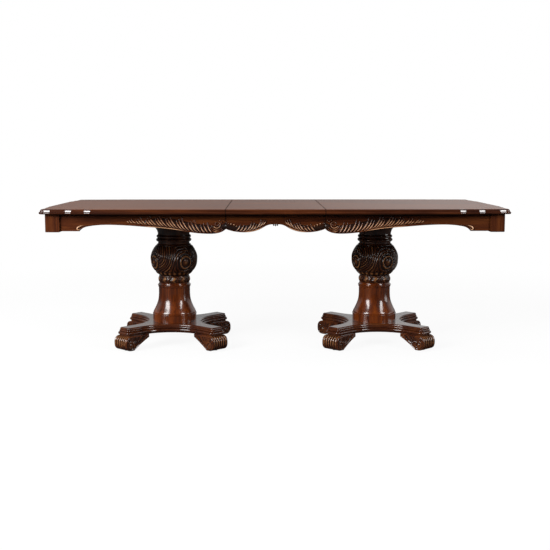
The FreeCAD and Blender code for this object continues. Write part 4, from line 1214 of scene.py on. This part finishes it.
@dataclass(frozen=True)
class ScrollFoot:
    """A foot with a reeded, rolled toe and a scroll on each side, drawn along +X."""

    reach: float = 386 * MM
    length: float = 160 * MM
    top: float = 82 * MM
    bottom: float = 3 * MM
    width: float = 110 * MM
    sole: float = 18 * MM
    heel_share: float = 0.22
    hollow_shares: Pair = (0.5, 0.56)
    edge_radius: float = 6 * MM
    edge_relief: float = 0.75
    edge_turns: int = 5
    reeds: int = 6
    reed_depth: float = 5.5 * MM
    reed_share: float = 0.68
    groove: float = 0.55
    plain: float = 0.78
    # How much more the reeds' crowns stand out high on the toe, and between which heights, so that they take
    # the lighter rubbed colour as a painted highlight.
    crown_highlight: float = 0.19
    crown_highlight_range: Pair = mm(14, 44)
    toe_power: float = 0.8
    toe_range: Pair = (-16 * MM, 0.0)
    toe_low_range: Pair = mm(1, 9)
    side_depth: float = 3.2 * MM
    side_scales: tuple[float, ...] = (
        0.05, 0.12, 0.2, 0.28, 0.36, 0.44, 0.52, 0.6, 0.68, 0.76, 0.83, 0.89, 0.94, 0.975)
    # How far back from the toe, how high and how large.
    scrolls: tuple[tuple[float, float, float], ...] = (mm(34, 31, 26), mm(38, 66, 13))
    scroll_windings: float = 1.7
    scroll_relief: float = 0.88
    leaf_eye: Pair = mm(50, 30)
    leaf_veins: float = 8.0
    leaf_bend: float = 30 * MM
    stations_across: int = 72

    @property
    def roll(self) -> float:
        """Radius of the rolled toe."""
        return (self.top - self.bottom) / 2

    @property
    def eye(self) -> Vector:
        """Middle of the rolled toe, as reach and height."""
        return Vector((self.reach - self.roll, self.bottom + self.roll))

    def outline(self) -> list[Vector]:
        """The side view as an even run of points, from the top of the toe forwards.

        Returns:
            The points, as reach and height.
        """
        eye, roll, power = self.eye, self.roll, self.toe_power
        heel = self.reach - self.length
        heel_low = self.top - (self.top - self.bottom) * self.heel_share
        sole_end = eye.x - self.sole
        points = [Vector((eye.x + roll * math.sin(turn) ** power,
                          eye.y + roll * math.copysign(abs(math.cos(turn)) ** power, math.cos(turn))))
                  for turn in np.linspace(0.0, math.pi, 45)]
        points += [Vector((x, self.bottom)) for x in np.linspace(eye.x, sole_end, 12)[1:]]
        back, up = self.hollow_shares
        bend = Vector((sole_end + (heel - sole_end) * back, self.bottom + (heel_low - self.bottom) * up))
        start, end = Vector((sole_end, self.bottom)), Vector((heel, heel_low))
        pull = bend * 2 - (start + end) / 2
        points += [start * (1 - t) ** 2 + pull * (2 * t * (1 - t)) + end * t ** 2
                   for t in np.linspace(0.0, 1.0, 26)[1:]]
        points += [Vector((heel, z)) for z in np.linspace(heel_low, self.top, 6)[1:]]
        return points + [Vector((x, self.top)) for x in np.linspace(heel, eye.x, 34)[1:-1]]

    @staticmethod
    def normals(points: Sequence[Vector]) -> list[Vector]:
        """The outward direction at each point of the side view."""
        ways = [points[(index + 1) % len(points)] - points[index - 1] for index in range(len(points))]
        return [Vector((-way.y, way.x)).normalized() for way in ways]

    def volute(self, place: Vector, back: float, height: float, size: float) -> float:
        """How far a place stands out in a small scroll, from 0 to 1, or less than 0 outside it.

        Args:
            place: the place in the side view.
            back: how far back of the toe the scroll lies.
            height: how high it lies.
            size: its radius.

        Returns:
            The relief.
        """
        away = place - Vector((self.reach - back, height))
        radius, angle = away.length / size, math.atan2(away.y, away.x)
        if radius > 1.0:
            return -1.0
        winding = abs(math.cos(math.pi * radius * self.scroll_windings - angle / 2)) ** 0.7
        return self.scroll_relief * max(bump_at(radius, 0.0, 0.3), 0.1 + 0.9 * winding)

    def side_cut(self, place: Vector) -> float:
        """How far a place on the side stands out, from 0 to 1: two scrolls, a leaf behind them.

        Args:
            place: the place in the side view.

        Returns:
            The relief.
        """
        scroll = max(self.volute(place, *measures) for measures in self.scrolls)
        if scroll >= 0.0:
            return scroll
        away = place - Vector((self.reach - self.leaf_eye[0], self.leaf_eye[1]))
        angle = math.atan2(away.y, away.x)
        return 0.1 + 0.75 * abs(math.cos(angle * self.leaf_veins + away.length / self.leaf_bend))

    def on_toe(self, place: Vector) -> float:
        """How much a place belongs to the reeded toe, from 0 to 1."""
        forward = smooth_rise(place.x - self.eye.x, *self.toe_range)
        return forward * smooth_rise(place.y - self.bottom, *self.toe_low_range)

    def reed(self, lateral: float) -> float:
        """How far the reeds stand out of their grooves across the toe, from 0 to 1.

        Args:
            lateral: the place across the foot.

        Returns:
            The relief.
        """
        pitch = (self.width - 2 * self.edge_radius) / self.reeds
        across = 2.0 * ((lateral / pitch + (0.5 if self.reeds % 2 else 0.0)) % 1.0) - 1.0
        return bump_at(across, 0.0, self.reed_share)

    def side_loops(self, points: Sequence[Vector], normals: Sequence[Vector]) -> list[Loop]:
        """The loops of one carved side and of its rounded edge, from the middle outwards.

        Args:
            points: the side view.
            normals: its outward directions.

        Returns:
            The loops.
        """
        half = self.width / 2
        loops = []
        for scale in self.side_scales:
            ring = []
            for point, normal in zip(points, normals):
                place = self.eye + (point - normal * self.edge_radius - self.eye) * scale
                cut = self.side_cut(place)
                ring.append((place.x, half - self.side_depth * (1.0 - cut), place.y, cut))
            loops.append(ring)
        for turn in np.linspace(math.pi / 2, 0.0, self.edge_turns):
            inset = self.edge_radius * (1.0 - math.cos(turn))
            lateral = half - self.edge_radius * (1.0 - math.sin(turn))
            loops.append([(point.x - normal.x * inset, lateral, point.y - normal.y * inset, self.edge_relief)
                          for point, normal in zip(points, normals)])
        return loops

    def loops(self) -> list[Loop]:
        """Closed loops across the foot, each point with its relief as a fourth number.

        Returns:
            The loops, from one side to the other.
        """
        points = self.outline()
        normals = self.normals(points)
        side = self.side_loops(points, normals)
        flat = self.width / 2 - self.edge_radius
        middle = []
        for lateral in np.linspace(flat, -flat, self.stations_across)[1:-1]:
            reed = self.reed(lateral)
            ring = []
            for point, normal in zip(points, normals):
                toe = self.on_toe(point)
                place = point - normal * (self.reed_depth * toe * (1.0 - reed))
                # Painted highlight: the reeds' crowns high on the toe take the lighter rubbed colour. The
                # grooves take the dark glaze colour, partly painted shade.
                wear_and_highlight = self.crown_highlight * smooth_rise(point.y, *self.crown_highlight_range) * reed
                cut = self.plain + toe * (wear_and_highlight - self.groove * (1.0 - reed))
                ring.append((place.x, lateral, place.y, cut))
            middle.append(ring)
        mirrored = [[(x, -y, z, cut) for x, y, z, cut in ring] for ring in reversed(side)]
        return side + middle + mirrored


@dataclass(frozen=True)
class EdgeSteps:
    """The polished moulding where the top's edge steps inwards towards its corners, one piece a half."""

    side: str
    sign: float
    half_length: float = 1219 * MM
    half_width: float = 559 * MM
    step: float = 8 * MM
    run: float = 36 * MM
    bend: float = 22 * MM
    slope: float = math.radians(14.8)
    long_places: tuple[float, ...] = mm(267, 169, 60)
    end_places: tuple[float, ...] = mm(267, 169)
    proud: float = 0.12 * MM
    end_sunk: float = 0.5 * MM
    # Inset, height, radius and last angle of the round and of the bead under it.
    arcs: tuple[tuple[float, float, float, float], ...] = (
        (18 * MM, 775 * MM, 12 * MM, 0.0), (6 * MM, 767.5 * MM, 6 * MM, -78.0))
    first_angle: float = 76.0
    core: Pairs = (mm(11, 763), mm(16, 784))
    marks: tuple[float, ...] = (0.0, 0.02, 0.06, 0.2, 0.35, 0.4999, 0.5001, 0.65, 0.8, 0.94, 0.98, 1.0)

    def profile(self, proud: float) -> list[Pair]:
        """The moulding's section as insets and heights, from the top down and back through its core.

        Args:
            proud: how far it stands out of the top's edge.

        Returns:
            The section's points.
        """
        section = []
        for inset, height, radius, last_angle in self.arcs:
            reach = radius + proud
            section += [(inset - reach * math.cos(turn), height + reach * math.sin(turn))
                        for turn in np.radians(np.linspace(self.first_angle, last_angle, 10))]
        return section + list(self.core)

    def plan(self, place: float, level: float, mark: float, inset: float) -> Pair:
        """A place on one step seen from above, by its share of the way, measured in from the corner.

        Args:
            place: the step's place along its edge.
            level: how far in the edge lies before it.
            mark: the share of the way.
            inset: how far in from the edge it lies.

        Returns:
            The place, along the edge and in from it.
        """
        if mark < 0.5:
            turn, reach = self.slope * 2 * mark, self.bend - inset
            return (place + self.run / 2 - reach * math.sin(turn),
                    level + self.bend - reach * math.cos(turn))
        turn, reach = self.slope * 2 * (1 - mark), self.bend + inset
        return (place - self.run / 2 + reach * math.sin(turn),
                level + self.step - self.bend + reach * math.cos(turn))

    def loop(self, place: float, level: float, way: int, out: float, mark: float) -> Loop:
        """The section at a share of the way along a step.

        Args:
            place: the step's place along its edge.
            level: how far in the edge lies before it.
            way: 0 on a long edge, 1 on an end.
            out: the edge's side in Y.
            mark: the share of the way.

        Returns:
            The section's points.
        """
        loop = []
        for inset, height in self.profile(self.proud if 0.0 < mark < 1.0 else -self.end_sunk):
            corner = self.plan(place, level, mark, inset)
            loop.append((self.sign * (self.half_length - corner[way]),
                         out * (self.half_width - corner[1 - way]), height, 1.0))
        return loop

    def build(self, material: Material) -> None:
        """Builds every step of one half as one piece.

        Args:
            material: its finish.
        """
        bm = bmesh.new()
        for _, out in FRONTS:
            for way, places in enumerate((self.long_places, self.end_places)):
                for number, place in enumerate(places):
                    loft(bm, [self.loop(place, number * self.step, way, out, mark) for mark in self.marks])
        finish_piece(f"{self.side}_edge_steps", bm, f"{self.side}_half", material)


@dataclass(frozen=True)
class Pedestal:
    """The carved pieces of one pedestal."""

    side: str
    axis_x: float
    turn: float
    finishes: Finishes
    foot_loops: Sequence[Loop]
    feet: tuple[tuple[str, Pair], ...] = (("front_feet", (225.0, 315.0)), ("back_feet", (45.0, 135.0)))

    def build(self) -> None:
        """Builds the ball, the collar, the beads and the feet."""
        side, body = self.side, f"{self.side}_half"
        for carving, kind in ((CarvedBall, "ball"), (CarvedCollar, "collar")):
            carving(f"{side}_{kind}", self.axis_x, self.turn).build(
                f"{side}_carved_{kind}", body, self.finishes[Use.COLUMN])
        TurnedBeads(f"{side}_vase", self.axis_x).build(f"{side}_vase_beads", body, self.finishes[Use.VASE])
        for name, quarters in self.feet:
            bm = bmesh.new()
            for quarter in quarters:
                turned = Matrix.Rotation(math.radians(quarter), 4, "Z")
                loft(bm, self.foot_loops, Matrix.Translation((self.axis_x, 0.0, 0.0)) @ turned)
            finish_piece(f"{side}_{name}_carved", bm, body, self.finishes[Use.FOOT], [f"{side}_{name}"])


@dataclass(frozen=True)
class SoftBox:
    """A soft studio lamp."""

    name: str
    place: tuple[float, float, float]
    aim: tuple[float, float, float]
    size: Pair
    power: float
    mirrored: bool = True

    def build(self) -> None:
        """Adds the lamp."""
        lamp = bpy.data.lights.new(self.name, "AREA")
        lamp.shape = "RECTANGLE"
        lamp.size, lamp.size_y = self.size
        lamp.energy = self.power
        holder = add_object(self.name, lamp)
        holder.visible_glossy = self.mirrored
        holder.location = self.place
        holder.rotation_euler = (Vector(self.aim) - Vector(self.place)).to_track_quat("-Z", "Y").to_euler()


@dataclass(frozen=True)
class Studio:
    """The pale floor, the lamps and the camera."""

    camera_place: tuple[float, float, float] = (-0.0563, -5.3, 1.0573)
    camera_pitch: float = 7.25
    camera_yaw: float = -0.639
    lens: float = 61.50
    floor_size: float = 60.0
    floor_greys: Pair = (0.78, 0.82)
    floor_seen: float = 0.06
    floor_step: Step = (1.8, 4.5, 0.92, 1.0)
    floor_passing: float = 0.8
    behind_range: Pair = (-0.25, 0.35)
    behind_light: float = 0.08
    above_step: Step = (0.2, 1.0, 0.01, 0.06)
    # What polish mirrors of the surround: more to the right and when raised, little when high up.
    right_step: Step = (-0.05, 0.25, 0.147, 0.387)
    raised_step: Step = (0.08, 0.22, 0.0, 0.36)
    high_step: Step = (0.3, 0.5, 1.0, 0.15)
    lamps: tuple[SoftBox, ...] = (
        SoftBox("left_softbox", (-3.8, -3.3, 2.6), (0.0, 0.0, 0.4), (2.2, 2.8), 360.0),
        SoftBox("right_softbox", (3.8, -3.3, 2.6), (0.0, 0.0, 0.4), (1.3, 2.6), 165.0),
        SoftBox("front_key", (-4.2, -4.6, 3.0), (-0.8, 0.0, 0.5), (2.0, 1.0), 170.0, mirrored=False),
        SoftBox("overhead_softbox", (0.0, -0.6, 4.2), (0.0, 0.0, 0.7), (4.0, 2.0), 55.0, mirrored=False),
        SoftBox("right_panel", (4.6, -0.3, 0.6), (0.0, 0.0, 0.2), (1.6, 0.9), 20.0),
        SoftBox("left_back_fill", (-3.4, 3.8, 3.4), (0.0, 0.0, 0.5), (1.6, 1.6), 55.0, mirrored=False),
        SoftBox("right_back_fill", (3.4, 3.8, 3.4), (0.0, 0.0, 0.5), (1.6, 1.6), 55.0, mirrored=False))

    def build(self) -> None:
        """Builds the floor, the world, the lamps and the camera."""
        self.floor()
        self.world()
        for lamp in self.lamps:
            lamp.build()
        camera = bpy.data.cameras.new("camera")
        camera.lens = self.lens
        holder = add_object("camera", camera)
        holder.location = self.camera_place
        holder.rotation_euler = (math.radians(90.0 - self.camera_pitch), 0.0, math.radians(self.camera_yaw))
        bpy.context.scene.camera = holder
        bpy.context.scene.view_settings.view_transform = "Standard"

    def floor(self) -> None:
        """Adds the floor, white to the camera apart from the table's shadow."""
        bm = bmesh.new()
        bmesh.ops.create_grid(bm, x_segments=2, y_segments=2, size=self.floor_size / 2)
        material, shader = new_material("pale_floor")
        place = shader.object_place()
        speckle = shader.noise(place, 3.0, 2.0)
        white = shader.node("ShaderNodeEmission", inputs={"Color": grey(1.0), "Strength": 1.0})
        camera, passing = shader.ray("Camera"), shader.ray("Transmission")
        pale = shader.mixed(speckle, *(grey(level) for level in self.floor_greys))
        lit = shader.mixed(camera, grey(self.floor_seen), pale)
        matte = shader.node("ShaderNodeBsdfDiffuse", inputs={"Color": lit})
        away = shader.node("ShaderNodeVectorMath", {"operation": "LENGTH"}, {0: place}, "Value")
        shown = camera * away.rise(*self.floor_step) + passing * self.floor_passing
        shader.end(shader.node("ShaderNodeMixShader", inputs={0: shown, 1: matte, 2: white}))
        floor = add_object("floor", new_mesh("floor", bm, material))

    def world(self) -> None:
        """Sets a soft surround, white to the camera and mirrored from behind the table."""
        world = bpy.data.worlds.new("studio")
        world.use_nodes = True
        bpy.context.scene.world = world
        shader = Shader(world.node_tree)
        way = shader.node("ShaderNodeTexCoord", out="Generated")
        x, y, z = (shader.axis(way, name) for name in "XYZ")
        camera, glossy, passing = (shader.ray(kind) for kind in ("Camera", "Glossy", "Transmission"))
        behind = y.rise(*self.behind_range)
        soft = z.rise(*self.above_step) + behind * self.behind_light
        mirrored = (x.rise(*self.right_step) + z.rise(*self.raised_step)) * z.rise(*self.high_step)
        shown = camera + passing + glossy * behind * mirrored
        strength = soft * (1 - camera) * (1 - passing) + shown
        light = shader.node("ShaderNodeBackground", inputs={"Color": grey(1.0), "Strength": strength})
        shader.node("ShaderNodeOutputWorld", inputs={"Surface": light})


def main() -> None:
    """Dresses the solids, builds the carved pieces and sets the studio."""
    logging.basicConfig(level=logging.INFO, format="%(message)s")
    finishes = Finishes()
    finishes.dress_solids()
    ApronCarving(finishes[Use.SPRAY]).build()
    foot_loops = ScrollFoot().loops()
    for (side, sign), (axis_x, turn) in zip(SIDES, PEDESTALS):
        Pedestal(side, axis_x, math.radians(turn), finishes, foot_loops).build()
        EdgeSteps(side, sign).build(finishes[Use.EDGE])
    Studio().build()


if __name__ == "__main__":
    main()
